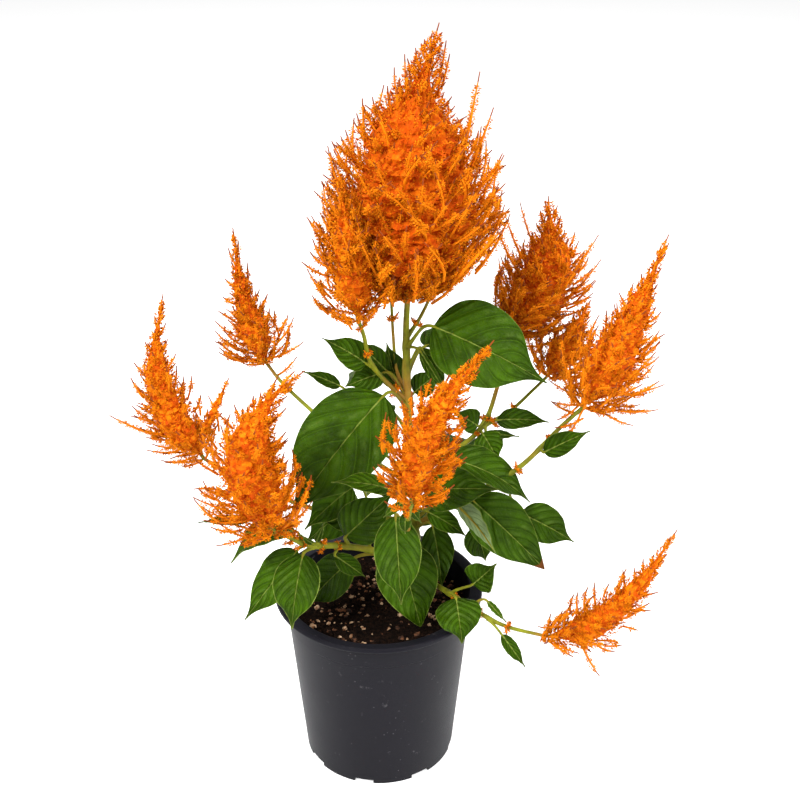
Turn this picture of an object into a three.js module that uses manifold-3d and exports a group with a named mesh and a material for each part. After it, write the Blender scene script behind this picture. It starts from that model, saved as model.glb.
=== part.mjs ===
// Plume celosia (Celosia argentea, plumosa group) standing in a round plastic nursery pot.
// Frame: millimetres, +Z up, origin at the centre of the pot's underside, the plant's best side towards -Y.
// One branched stem stands in the potting mix. Each leaf hangs on it by its own petiole, and each branch
// carries a plume: a tapering core covered by spikes, whose whorls of florets stand out as knobs.
import * as THREE from 'three';
import { mergeVertices } from 'three/addons/utils/BufferGeometryUtils.js';
import Module from 'manifold-3d';

const wasm = await Module();
wasm.setup();

// ---- driving dimensions ----
const POT_HEIGHT = 119;
const RIM_RADIUS = 65;
const FOOT_RADIUS = 48;
const WALL_TOP_RADIUS = 58.5;
const WALL = 1.5;
const FOOT_LIFT = 3; // how far the pot's floor stands above what it rests on
const FLOOR = 2;
const BAND_HEIGHT = 16; // the slightly wider band under the lip
const BAND_STEP = 0.7;
const LIP_DEPTH = 3.2;
const POT_SIDES = 30;
const DRAINS = 8;
const SOIL_TOP = 105;
const GAP = 0.35; // air between neighbouring pieces
const LEAF_THICKNESS = 0.8;
const PETIOLE_RADIUS = 0.95;
const LARGE_LEAF = 32; // width above which a blade is curved more finely
const STEM_STEP = 24; // length of a stem's straight stretches
const FLORET_KNOB = 2.3; // radius of a spike at its thickest whorl of florets
const GOLDEN_ANGLE = Math.PI * (3 - Math.sqrt(5));

const UP = new THREE.Vector3(0, 0, 1);
const vec = (p) => new THREE.Vector3(...p);

// ---- closed meshes and solids ----

function geometryFrom(positions, indices) {
  const geometry = new THREE.BufferGeometry();
  geometry.setAttribute('position', new THREE.BufferAttribute(new Float32Array(positions), 3));
  geometry.setIndex(indices);
  return geometry;
}

function toSolid(geometry) {
  const bare = new THREE.BufferGeometry();
  bare.setAttribute('position', geometry.getAttribute('position'));
  bare.setIndex(geometry.index);
  const merged = mergeVertices(bare, 1e-4);
  return new wasm.Manifold(new wasm.Mesh({
    numProp: 3,
    vertProperties: new Float32Array(merged.attributes.position.array),
    triVerts: new Uint32Array(merged.index.array),
  }));
}

function toGeometry(solid) {
  const mesh = solid.getMesh();
  return geometryFrom(mesh.vertProperties, Array.from(mesh.triVerts));
}

function joined(solids) {
  return solids.reduce((whole, next) => whole.add(next));
}

// Scraps that a cut leaves behind are dropped.
function largestPiece(solid) {
  return solid.decompose().reduce((best, next) => (next.volume() > best.volume() ? next : best));
}

const crosses = (one, other) => one.intersect(other).volume() > 1e-6;

// The solid, cut clear of another one where they cross.
function clearOf(solid, other) {
  return crosses(solid, other) ? largestPiece(solid.subtract(other)) : solid;
}

// Repeatable draws between 0 and 1 (Lehmer generator).
function randomDraws(seed) {
  let state = seed;
  return () => {
    state = (state * 48271) % 2147483647;
    return state / 2147483647;
  };
}

// A closed tube along a curve. With pointed, its last ring shrinks to one point.
// twist turns each ring by that share of one side against the ring before it.
function sweep(curve, radiusAt, sides, steps, { pointed = false, twist = 0 } = {}) {
  const frames = curve.computeFrenetFrames(steps);
  const rings = pointed ? steps : steps + 1;
  const positions = [];
  const indices = [];
  for (let i = 0; i < rings; i += 1) {
    const centre = curve.getPointAt(i / steps);
    const radius = radiusAt(i / steps);
    for (let k = 0; k < sides; k += 1) {
      const angle = (2 * Math.PI * (k + i * twist)) / sides;
      const point = centre.clone()
        .addScaledVector(frames.normals[i], radius * Math.cos(angle))
        .addScaledVector(frames.binormals[i], radius * Math.sin(angle));
      positions.push(point.x, point.y, point.z);
    }
  }
  const startCentre = rings * sides;
  const endCentre = startCentre + 1;
  positions.push(...curve.getPointAt(0).toArray(), ...curve.getPointAt(1).toArray());
  for (let k = 0; k < sides; k += 1) {
    const next = (k + 1) % sides;
    indices.push(startCentre, next, k);
    const last = (rings - 1) * sides;
    indices.push(endCentre, last + k, last + next);
    for (let i = 0; i + 1 < rings; i += 1) {
      const low = i * sides;
      const high = low + sides;
      indices.push(low + k, low + next, high + k, low + next, high + next, high + k);
    }
  }
  return toSolid(geometryFrom(positions, indices));
}

// ---- pot ----

const WALL_SLOPE = (WALL_TOP_RADIUS - FOOT_RADIUS) / POT_HEIGHT;
const outerRadius = (z) => FOOT_RADIUS + WALL_SLOPE * z;
const innerRadius = (z) => outerRadius(z) - WALL;
const fillRadius = (z) => innerRadius(z) * Math.cos(Math.PI / POT_SIDES) - GAP;

function potSolid() {
  const bandBottom = POT_HEIGHT - LIP_DEPTH - BAND_HEIGHT;
  const lipBottom = POT_HEIGHT - LIP_DEPTH;
  const padRadius = 14;
  const footInner = FOOT_RADIUS - 5;
  const profile = [
    [0, 0], [padRadius, 0], [padRadius + 1.5, FOOT_LIFT], [footInner - 1.5, FOOT_LIFT],
    [footInner, 0], [FOOT_RADIUS, 0],
    [outerRadius(bandBottom), bandBottom],
    [outerRadius(bandBottom) + BAND_STEP, bandBottom + 0.8],
    [outerRadius(lipBottom) + BAND_STEP, lipBottom],
    [RIM_RADIUS, lipBottom + 1], [RIM_RADIUS - 0.6, POT_HEIGHT],
    [innerRadius(lipBottom) + 1, POT_HEIGHT - 1], [innerRadius(lipBottom), lipBottom - 0.6],
    [innerRadius(FOOT_LIFT + FLOOR), FOOT_LIFT + FLOOR], [0, FOOT_LIFT + FLOOR],
  ].map(([r, z]) => new THREE.Vector2(r, z));
  const shell = new THREE.LatheGeometry(profile, POT_SIDES);
  const standing = new THREE.Matrix4().makeRotationX(Math.PI / 2);
  let pot = toSolid(shell.applyMatrix4(standing));
  // Drain notches through the foot ring, and a round drain in the floor beside each of them.
  for (let i = 0; i < DRAINS; i += 1) {
    const turn = ((i + 0.72) * 2 * Math.PI) / DRAINS;
    const notch = new THREE.BoxGeometry(12, 15, 2 * FOOT_LIFT + 0.8);
    notch.translate(0, -FOOT_RADIUS + 2, 0).rotateZ(turn);
    const drain = new THREE.CylinderGeometry(3.2, 3.2, 12, 6);
    drain.rotateX(Math.PI / 2).translate(0, -FOOT_RADIUS + 17, 5).rotateZ(turn);
    pot = pot.subtract(toSolid(notch)).subtract(toSolid(drain));
  }
  return largestPiece(pot);
}

// ---- potting mix ----

function soilSolid() {
  const around = 26;
  const rings = 5;
  const relief = 3; // height of the lumps
  const sunk = 1.5; // how far the mix has settled along the wall
  const bottom = FOOT_LIFT + FLOOR + GAP;
  const draw = randomDraws(11);
  const positions = [0, 0, SOIL_TOP];
  const indices = [];
  const topRadius = fillRadius(SOIL_TOP);
  for (let ring = 1; ring <= rings; ring += 1) {
    const share = ring / rings;
    for (let k = 0; k < around; k += 1) {
      const angle = (2 * Math.PI * (k + 0.5 * (ring % 2))) / around;
      const lump = ring < rings ? relief * (draw() - 0.5) : -sunk;
      positions.push(topRadius * share * Math.cos(angle), topRadius * share * Math.sin(angle), SOIL_TOP + lump);
    }
  }
  for (let k = 0; k < around; k += 1) {
    const angle = (2 * Math.PI * k) / around;
    positions.push(fillRadius(bottom) * Math.cos(angle), fillRadius(bottom) * Math.sin(angle), bottom);
  }
  const foot = 1 + (rings + 1) * around;
  positions.push(0, 0, bottom);
  for (let k = 0; k < around; k += 1) {
    const next = (k + 1) % around;
    indices.push(0, 1 + k, 1 + next);
    indices.push(foot, foot - around + next, foot - around + k);
    for (let ring = 1; ring <= rings; ring += 1) {
      const inner = 1 + (ring - 1) * around;
      const outer = inner + around;
      indices.push(inner + k, outer + k, inner + next, inner + next, outer + k, outer + next);
    }
  }
  return toSolid(geometryFrom(positions, indices));
}

// ---- stems ----
// The centreline of each from its root to its end, then its radius at the root and at the end.

const STEMS = Object.fromEntries([
  ['main', [[17, 4, 84], [20, 4, 130], [22, 4, 180], [18, 5, 245], [17, 5, 290], [18, 5, 313]], 4.6, 2.1],
  ['head_left', [[18, 5, 246], [8, -2, 259], [-3, -9, 277], [-7, -16, 298], [-10, -20, 309]], 1.9, 1.4],
  ['head_right', [[17, 5, 286], [25, 11, 296], [33, 19, 310]], 1.5, 1.1],
  ['head_back', [[18, 5, 250], [12, 16, 260], [10, 27, 278], [9, 31, 298]], 1.5, 1.1],
  ['right_back', [[21, 4, 196], [46, 17, 205], [64, 26, 217], [74, 42, 235], [82, 60, 264]], 2.2, 1.5],
  ['right_side', [[64, 26, 217], [82, 34, 224], [97, 40, 236], [105, 43, 243]], 1.6, 1.2],
  ['right', [[22, 4, 160], [50, 1, 180], [84, 1, 202], [110, 5, 229], [122, 7, 240]], 2.6, 1.6],
  ['right_low', [[19, 4, 121], [31, -15, 132], [45, -33, 134], [72, -45, 122], [100, -50, 116]], 2.4, 1.3],
  ['front', [[21, 4, 140], [20, -18, 158], [17, -46, 190], [17, -68, 214], [18, -76, 226]], 2.5, 1.6],
  ['left_low', [[20, 4, 132], [-4, -22, 160], [-22, -35, 172], [-39, -46, 180], [-57, -68, 205]], 3, 1.7],
  ['left_back', [[20, 4, 190], [-8, 13, 206], [-40, 24, 231], [-58, 33, 246], [-67, 39, 256]], 2.1, 1.3],
  ['left', [[21, 4, 165], [-20, -3, 172], [-60, -8, 190], [-87, -10, 207], [-101, -10, 217]], 2.2, 1.4],
  ['back', [[20, 4, 200], [20, 40, 229], [20, 62, 256], [19, 75, 281]], 2, 1.3],
].map(([name, points, rootRadius, endRadius]) => [name, {
  curve: new THREE.CatmullRomCurve3(points.map(vec), false, 'centripetal'),
  radiusAt: (t) => rootRadius + (endRadius - rootRadius) * t,
}]));

function stemSolids(extra) {
  return Object.entries(STEMS).map(([name, { curve, radiusAt }]) => {
    const sides = name === 'main' ? 8 : 5;
    const steps = Math.max(3, Math.round(curve.getLength() / STEM_STEP));
    return sweep(curve, (t) => radiusAt(t) + extra, sides, steps);
  });
}

// What the stems need free of other pieces. It reaches a little below the main stem's foot in the potting mix.
function stemClearance() {
  const { curve, radiusAt } = STEMS.main;
  const foot = curve.getPointAt(0);
  const room = new THREE.CylinderGeometry(radiusAt(0) + GAP, radiusAt(0) + GAP, 2 * GAP + 1, 8);
  room.rotateX(Math.PI / 2).translate(foot.x, foot.y, foot.z);
  return joined([...stemSolids(GAP), toSolid(room)]);
}

// ---- leaves ----
// name, stem and share of its length where the petiole grows, neck and tip of the blade, width at its widest,
// the way the upper side looks, how far the midrib bows, degrees that each half tilts up, height of the waves.

const LEAVES = [
  ['upper_right', 'main', 0.86, [32, -6, 298], [95, -22, 270], 48, [1, -6, 4], 6, 8],
  ['big_left', 'main', 0.69, [4, -14, 259], [-50, -46, 198], 51, [-1, -5, 4], 8, 12],
  ['front_edge', 'front', 0.78, [6, -50, 219], [-25, -64, 232], 13, [0, -2, 3], 3, 15],
  ['front_left', 'left_low', 0.5, [-19, -33, 177], [9, -30, 205], 27, [0, -5, 3], 3, 10],
  ['left_inner', 'left_low', 0.36, [-10, -13, 183], [-37, -25, 184], 24, [-1, -5, 3], 3, 12],
  ['front', 'front', 0.5, [10, -42, 196], [13, -52, 142], 27, [0, -5, 2], 4, 10],
  ['low_front', 'main', 0.3, [12, -14, 158], [25, -36, 114], 37, [0, -5, 5], 5, 10],
  ['rim_left', 'left_low', 0.68, [-43, -48, 175], [-50, -66, 136], 27, [-1, -5, 3], 4, 10],
  ['rim_far_left', 'left_low', 0.64, [-47, -38, 171], [-79, -48, 129], 24, [-2, -5, 4], 1, 8],
  ['over_soil', 'left_low', 0.28, [-16, -20, 152], [-44, -12, 114], 26, [0, -4, 5], 3, 8],
  ['rim_left_small', 'left_low', 0.55, [-25, -38, 167], [-8, -32, 148], 11, [0, -5, 4], 2, 8],
  ['low_left', 'left_low', 0.76, [-47, -44, 188], [-84, -50, 171], 22, [-1, -1, 5], 7, 20],
  ['low_right', 'main', 0.33, [33, -5, 166], [39, -8, 123], 20, [1, -5, 3], 4, 8, 2],
  ['front_right', 'main', 0.45, [27, -22, 201], [69, -40, 212], 27, [1, -5, 4], 5, 10],
  ['front_right_low', 'main', 0.38, [30, -12, 180], [53, -18, 166], 13, [0, -4, 5], 3, 8],
  ['right_arch', 'main', 0.5, [42, -2, 211], [92, -2, 180], 28, [1, -2, 5], 6, 12],
  ['right_large', 'main', 0.36, [55, -19, 193], [98, -35, 154], 33, [1, -5, 3], 5, 8],
  ['right_outer', 'right', 0.5, [85, -16, 181], [117, -20, 163], 23, [1, -5, 4], 3, 8],
  ['right_pale', 'main', 0.47, [46, -31, 197], [67, -50, 176], 17, [3, 4, 1], 2, 4],
  ['right_under', 'right', 0.22, [57, -22, 176], [64, -24, 153], 20, [1, -5, 3], 2, 10],
  ['low_branch_up', 'right_low', 0.42, [56, -38, 146], [69, -42, 163], 20, [0, -5, 4], 2, 12, 2],
  ['low_branch', 'right_low', 0.4, [46, -38, 136], [49, -54, 115], 27, [0, -5, 4], 3, 8, 3],
  ['low_branch_tip', 'right_low', 0.66, [73, -49, 117], [87, -54, 97], 8, [0, -5, 4], 1, 10],
  ['node_right', 'right_back', 0.44, [64, 22, 215], [74, 12, 200], 18, [0, -5, 4], 2, 15],
  ['node_left', 'right_back', 0.53, [61, 20, 221], [45, 16, 233], 15, [0, -5, 4], 2, 12],
  ['node_outer', 'right_side', 0.2, [73, 25, 222], [104, 20, 223], 14, [0, -4, 5], 3, 10],
  ['right_axil', 'right', 0.72, [99, -1, 214], [125, -3, 229], 14, [0, -5, 4], 3, 12],
  ['upper_left', 'head_left', 0.5, [-6, -9, 277], [-30, -14, 295], 17, [0, -5, 4], 3, 8],
  ['upper_left_low', 'main', 0.72, [4, 0, 267], [-18, -4, 260], 16, [0, -5, 4], 2, 8],
  ['upper_left_back', 'main', 0.72, [6, 12, 262], [-12, 20, 278], 14, [0, -5, 4], 2, 8],
  ['upper_back', 'main', 0.7, [12, 14, 250], [6, 26, 274], 17, [0, -5, 4], 2, 8],
  ['upper_behind', 'main', 0.7, [22, 10, 249], [36, 18, 257], 15, [0, -5, 4], 2, 8],
  ['upper_narrow', 'main', 0.8, [26, 4, 280], [40, -4, 254], 11, [1, -5, 3], 2, 12],
  ['left_bud', 'left_back', 0.3, [-21, -5, 261], [-42, -12, 274], 8, [0, -5, 4], 2, 10],
  ['hidden_left', 'main', 0.48, [0, 20, 204], [-46, 40, 182], 32, [-1, 2, 5], 8, 10],
  ['hidden_right', 'main', 0.46, [36, 24, 200], [66, 62, 180], 32, [1, 2, 5], 8, 10],
  ['hidden_high', 'back', 0.5, [12, 50, 240], [-20, 74, 222], 28, [-1, 2, 5], 6, 10],
  ['hidden_low', 'main', 0.32, [14, 24, 168], [-8, 62, 146], 32, [0, 2, 5], 7, 10],
  ['hidden_low_right', 'main', 0.3, [34, 22, 160], [58, 52, 138], 30, [1, 2, 5], 6, 10],
  ['hidden_low_left', 'main', 0.3, [2, 14, 156], [-44, 28, 146], 30, [-1, 1, 5], 6, 10],
  ['hidden_soil_left', 'main', 0.24, [4, 22, 152], [-24, 56, 128], 30, [-1, 2, 4], 6, 10],
  ['hidden_soil_right', 'main', 0.22, [24, 24, 148], [50, 52, 130], 28, [1, 2, 4], 6, 10],
  ['hidden_upper', 'main', 0.78, [29, 25, 272], [70, 60, 252], 32, [1, 1, 5], 6, 10],
  ['hidden_middle', 'main', 0.6, [8, 22, 230], [-29, 50, 202], 32, [-1, 2, 4], 6, 10],
].map(([name, stem, at, neck, tip, width, face, arch, fold, wave = 0.03 * width]) => ({
  name: `leaf_${name}`, stem, at, neck: vec(neck), tip: vec(tip), width, face: vec(face), arch, fold, wave,
}));

// Half of the blade's width at a share t of its length: round at the neck, pinched into a long drip tip.
function bladeShare(t) {
  const oval = Math.pow(Math.sin(Math.PI * Math.pow(t, 0.7)), 0.75) * (1 - 0.3 * t * t);
  return oval * (1 - 0.65 * THREE.MathUtils.smoothstep(t, 0.6, 0.95));
}

const bladeColumns = (leaf) => (leaf.width > LARGE_LEAF ? 4 : 2);

// The rings of the blade, from the neck to the tip. Each has its centre, the leaf's side and upward directions
// there, half its width, and its share t of the blade's length.
function bladeRings(leaf) {
  const { neck, tip, face, arch, width } = leaf;
  const along = tip.clone().sub(neck).normalize();
  const up = along.clone().cross(face).cross(along).normalize();
  const crown = neck.clone().lerp(tip, 0.5).addScaledVector(up, 2 * arch);
  const midrib = new THREE.QuadraticBezierCurve3(neck, crown, tip);
  const shares = width > LARGE_LEAF ? [0, 0.07, 0.2, 0.36, 0.54, 0.72, 0.88, 1] : [0, 0.09, 0.3, 0.55, 0.8, 1];
  return shares.map((t) => {
    const tangent = midrib.getTangent(t);
    const side = tangent.clone().cross(up).normalize();
    return {
      centre: midrib.getPoint(t),
      tangent,
      side,
      normal: side.clone().cross(tangent).normalize(),
      half: Math.max(PETIOLE_RADIUS * (t < 0.5 ? 1 : 0.6), 0.53 * width * bladeShare(t)),
      t,
    };
  });
}

// The rings of the petiole, from just off the stem to the neck, turned to meet the blade's first ring.
function petioleRings(leaf, first) {
  const { curve, radiusAt } = STEMS[leaf.stem];
  const root = curve.getPointAt(leaf.at);
  const leave = leaf.neck.clone().sub(root).projectOnPlane(curve.getTangentAt(leaf.at)).normalize();
  root.addScaledVector(leave, radiusAt(leaf.at) + 2 * GAP);
  const reach = root.distanceTo(leaf.neck);
  const route = new THREE.CubicBezierCurve3(
    root, root.clone().lerp(leaf.neck, 0.4).addScaledVector(UP, 0.12 * reach),
    leaf.neck.clone().addScaledVector(first.tangent, -0.3 * reach), leaf.neck,
  );
  const bends = THREE.MathUtils.clamp(Math.round(reach / 11), 2, 4);
  const rings = [];
  let side = first.side;
  for (let i = bends - 1; i >= 0; i -= 1) {
    const tangent = route.getTangentAt(i / bends);
    side = side.clone().projectOnPlane(tangent).normalize();
    rings.unshift({
      centre: route.getPointAt(i / bends),
      side,
      normal: side.clone().cross(tangent),
      half: PETIOLE_RADIUS * (leaf.width > LARGE_LEAF ? 1.2 : 1),
      t: 0,
    });
  }
  return rings;
}

// One closed skin over the rings: the petiole's round section opens into the blade with its midrib below.
function leafSolid(leaf, extra = 0) {
  const columns = bladeColumns(leaf);
  const fold = THREE.MathUtils.degToRad(leaf.fold);
  const blade = bladeRings(leaf);
  const rings = [...petioleRings(leaf, blade[0]), ...blade];
  const around = 2 * (columns + 1);
  const positions = [];
  for (const { centre, side, normal, half, t } of rings) {
    const opened = Math.min(1, 8 * t);
    for (let k = 0; k < around; k += 1) {
      const under = k > columns;
      const u = (2 * (under ? around - 1 - k : k)) / columns - 1;
      const middle = (1 - Math.abs(u)) ** 3;
      const thick = LEAF_THICKNESS + (PETIOLE_RADIUS * (1.9 - t) - LEAF_THICKNESS) * middle + 2 * extra;
      const ripple = leaf.wave * Math.abs(u) * Math.sin(9 * t + 2 * u + leaf.width) * Math.sin(Math.PI * t);
      const lift = Math.abs(u) * half * Math.sin(fold) * opened + ripple;
      const point = centre.clone()
        .addScaledVector(side, u * (half + extra) * (opened ? Math.cos(fold) : 1))
        .addScaledVector(normal, lift + (under ? -0.5 : 0.5) * thick);
      positions.push(point.x, point.y, point.z);
    }
  }
  const indices = [];
  const quad = (a, b, c, d) => indices.push(a, c, b, a, d, c);
  const last = (rings.length - 1) * around;
  for (let k = 0; k < columns; k += 1) {
    const back = around - 1 - k;
    quad(k, k + 1, back - 1, back);
    quad(last + k, last + back, last + back - 1, last + k + 1);
  }
  for (let ring = 0; ring + 1 < rings.length; ring += 1) {
    for (let k = 0; k < around; k += 1) {
      const next = (k + 1) % around;
      const low = ring * around;
      const high = low + around;
      if (k > columns) quad(low + k, high + k, high + next, low + next);
      else quad(low + next, low + k, high + k, high + next);
    }
  }
  return toSolid(geometryFrom(positions, indices));
}

// ---- plumes ----
// Each plume has one or more lobes. A lobe has points along its axis, from base to tip, its girth (how far
// the spikes stand out at its widest), how fully it keeps that width, the number of spikes and a random seed.

// Lone spikes that stand far out of a plume's first lobe, each from its foot in the dense middle to its tip.
const STRAYS = {
  plume_main: [[[40, 0, 366], [54, 0, 434]], [[42, 4, 366], [62, 6, 415]]],
  plume_right_back: [[[93, 66, 296], [72, 55, 334]], [[102, 66, 280], [135, 76, 320]]],
  plume_right: [[[128, 8, 248], [167, 6, 254]], [[124, 8, 246], [102, 14, 254]]],
  plume_right_low: [[[116, -52, 122], [131, -58, 93]]],
  plume_left_low: [[[-60, -71, 216], [-97, -76, 230]], [[-59, -70, 210], [-87, -76, 200]]],
  plume_left_back: [[[-69, 40, 260], [-93, 42, 271]], [[-67, 39, 258], [-44, 36, 270]]],
  plume_left: [[[-110, -9, 230], [-151, -12, 246]]],
};

const PLUMES = [
  ['plume_main',
    [[[18, 5, 313], [21, 4, 368], [21, 2, 412], [33, 0, 461]], 53, 1.2, 86, 3],
    [[[-10, -20, 309], [-13, -22, 345], [-20, -20, 390]], 25, 1.6, 34, 5],
    [[[33, 19, 310], [42, 22, 338], [54, 25, 366]], 16, 1.4, 18, 7],
    [[[9, 31, 298], [4, 35, 335], [-2, 38, 369]], 20, 1.4, 16, 9]],
  ['plume_right_back',
    [[[82, 60, 265], [101, 66, 291], [106, 70, 315], [104, 75, 347]], 30, 2, 34, 13]],
  ['plume_right_side',
    [[[105, 43, 243], [117, 46, 262], [130, 53, 289]], 19, 1.4, 20, 15]],
  ['plume_right',
    [[[122, 7, 240], [140, 10, 275], [153, 12, 310], [164, 15, 343]], 27, 0.7, 35, 17]],
  ['plume_right_low',
    [[[100, -50, 116], [123, -52, 124], [147, -57, 153], [167, -60, 196]], 19, 1, 32, 19]],
  ['plume_front',
    [[[18, -76, 226], [22, -88, 276], [56, -101, 331]], 23, 1.1, 34, 21]],
  ['plume_left_low',
    [[[-57, -68, 205], [-67, -83, 260], [-55, -82, 290], [-37, -76, 304]], 27, 1.8, 36, 23]],
  ['plume_left_back',
    [[[-67, 39, 256], [-78, 43, 292], [-83, 50, 337]], 22, 0.6, 28, 25]],
  ['plume_left',
    [[[-101, -10, 217], [-121, -8, 251], [-124, -4, 284], [-118, 0, 316]], 22, 1.2, 30, 27],
    [[[-105, -9, 226], [-93, -8, 248], [-84, -6, 267]], 8, 0.9, 8, 31]],
  ['plume_back',
    [[[19, 75, 281], [17, 85, 312], [14, 96, 348]], 18, 1.4, 18, 29]],
].map(([name, ...lobes]) => ({
  name,
  lobes: lobes.map(([axis, girth, full, spikes, seed], i) => ({
    curve: new THREE.CatmullRomCurve3(axis.map(vec), false, 'centripetal'), girth, full, spikes, seed,
    strays: (i === 0 && STRAYS[name]) || [],
  })),
}));

const WIDEST = 0.27; // the share of a lobe's height at which it is widest
const CORE_SHARE = 0.55; // the dense middle's part of the lobe's width
const STRAY_SAG = 0.16; // how far a stray spike sags below the straight line, as a share of its length

// A lobe's half width at a share t of its height.
function lobeRadius({ girth, full }, t) {
  if (t < WIDEST) return girth * (1 - 0.7 * ((WIDEST - t) / WIDEST) ** 2);
  return girth * (1 - ((t - WIDEST) / (1 - WIDEST)) ** full);
}

// A lobe's dense middle: a grid of florets in which every second one stands out.
function coreSolid(lobe) {
  const { curve } = lobe;
  const around = lobe.girth > 40 ? 12 : lobe.girth > 21 ? 8 : 6;
  const steps = Math.max(5, Math.round(curve.getLength() / (lobe.girth > 40 ? 16 : 13)));
  const frames = curve.computeFrenetFrames(steps);
  const positions = [];
  const indices = [];
  for (let i = 0; i <= steps; i += 1) {
    const t = i / steps;
    const centre = curve.getPointAt(t);
    for (let k = 0; k < around; k += 1) {
      const angle = (2 * Math.PI * (k + 0.5 * (i % 2))) / around;
      const raised = (k + (i >> 1)) % 2 ? 1.14 : 0.9;
      const radius = 0.8 + raised * CORE_SHARE * lobeRadius(lobe, t);
      const point = centre.clone()
        .addScaledVector(frames.normals[i], radius * Math.cos(angle))
        .addScaledVector(frames.binormals[i], radius * Math.sin(angle));
      positions.push(point.x, point.y, point.z);
    }
  }
  const low = positions.length / 3;
  positions.push(...curve.getPointAt(0).toArray(), ...curve.getPointAt(1).toArray());
  for (let k = 0; k < around; k += 1) {
    const next = (k + 1) % around;
    indices.push(low, next, k, low + 1, steps * around + k, steps * around + next);
    for (let i = 0; i < steps; i += 1) {
      const ring = i * around;
      const above = ring + around;
      if (i % 2) {
        indices.push(ring + k, ring + next, above + next, ring + k, above + next, above + k);
      } else {
        indices.push(ring + k, ring + next, above + k, ring + next, above + next, above + k);
      }
    }
  }
  return toSolid(geometryFrom(positions, indices));
}

function strayCurve(foot, tip) {
  const sag = STRAY_SAG * foot.distanceTo(tip);
  const bend = foot.clone().lerp(tip, 0.5).addScaledVector(UP, -sag);
  return { curve: new THREE.QuadraticBezierCurve3(foot, bend, tip), steps: 2, knob: FLORET_KNOB };
}

// The curves of a lobe's spikes, spread round its axis by the golden angle. Each leaves the dense middle
// sideways, to end near the lobe's outline. Every fourth one is long and bends up, the others are straight.
function lobeSpikes(lobe) {
  const { curve } = lobe;
  const draw = randomDraws(lobe.seed);
  const spikes = lobe.strays.map(([foot, tip]) => strayCurve(vec(foot), vec(tip)));
  for (let i = 0; i < lobe.spikes; i += 1) {
    const long = i % 4 === 0;
    const low = 0.93 * ((i + 0.5) / lobe.spikes) ** 0.9;
    const climb = Math.min(0.19, 0.9 * low) * (0.8 + 0.5 * draw()) * (long ? 1 : 0.75);
    const high = Math.min(0.99, low + 0.02 + climb);
    const angle = i * GOLDEN_ANGLE + 0.3 * (draw() - 0.5);
    const axis = curve.getTangentAt(low);
    const across = axis.clone().cross(new THREE.Vector3(0, 1, 0)).normalize();
    const outward = across.clone().multiplyScalar(Math.cos(angle))
      .addScaledVector(axis.clone().cross(across), Math.sin(angle));
    const inner = 0.8 * CORE_SHARE * lobeRadius(lobe, low);
    const outer = lobeRadius(lobe, high) * (0.82 + 0.3 * draw() + (long ? 0.08 : 0)) + 2;
    const start = curve.getPointAt(low).addScaledVector(outward, inner);
    const end = curve.getPointAt(high).addScaledVector(outward, outer);
    const bend = curve.getPointAt(0.65 * low + 0.35 * high).addScaledVector(outward, 0.2 * inner + 0.8 * outer);
    spikes.push({
      curve: long ? new THREE.QuadraticBezierCurve3(start, bend, end) : new THREE.LineCurve3(start, end),
      steps: long ? 2 : 1,
      knob: FLORET_KNOB * Math.min(1.35, 0.6 + start.distanceTo(end) / 45),
    });
  }
  return spikes;
}

function spikeSolid({ curve, knob, steps }, extra) {
  return sweep(curve, (t) => knob * (1.15 - 0.7 * t) + extra, 3, steps, { pointed: true, twist: 0.5 });
}

// The lobes of one plume, fused. A spike that would run through a leaf, a stem, another plume, another lobe's
// middle or an earlier spike is left out.
function plumeSolid(plume, obstacles) {
  const cores = plume.lobes.map(coreSolid);
  const placed = [];
  plume.lobes.forEach((lobe, i) => {
    const blocked = [...obstacles, ...cores.filter((core) => core !== cores[i])];
    for (const spike of lobeSpikes(lobe)) {
      const swollen = spikeSolid(spike, GAP);
      const hit = [...blocked, ...placed].some((other) => crosses(swollen, other));
      if (!hit) placed.push(spikeSolid(spike, 0));
    }
  });
  return joined([...cores, ...placed]);
}

// ---- assembly ----

const plant = new THREE.Group();

function addPiece(name, solid, color, roughness) {
  const mesh = new THREE.Mesh(
    toGeometry(solid),
    new THREE.MeshStandardMaterial({ color, roughness, metalness: 0, flatShading: true }),
  );
  mesh.name = name;
  plant.add(mesh);
}

const clearance = stemClearance();
const obstacles = [clearance, ...LEAVES.map((leaf) => leafSolid(leaf, GAP))];

addPiece('pot', potSolid(), 0x3b3a40, 0.45);
addPiece('potting_mix', largestPiece(soilSolid().subtract(clearance)), 0x1a1210, 0.95);
addPiece('stems', joined(stemSolids(0)), 0x6b7a2a, 0.6);
for (const leaf of LEAVES) {
  addPiece(leaf.name, clearOf(leafSolid(leaf), clearance), 0x35641f, 0.5);
}
for (const plume of PLUMES) {
  const solid = largestPiece(clearOf(plumeSolid(plume, obstacles), clearance));
  obstacles.push(solid);
  addPiece(plume.name, solid, 0xf07a12, 0.8);
}

export default plant;
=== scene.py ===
import math

import bpy
import numpy as np
from bpy.props import FloatProperty, FloatVectorProperty, IntProperty, PointerProperty
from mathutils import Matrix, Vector, noise
from mathutils.bvhtree import BVHTree


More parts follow.
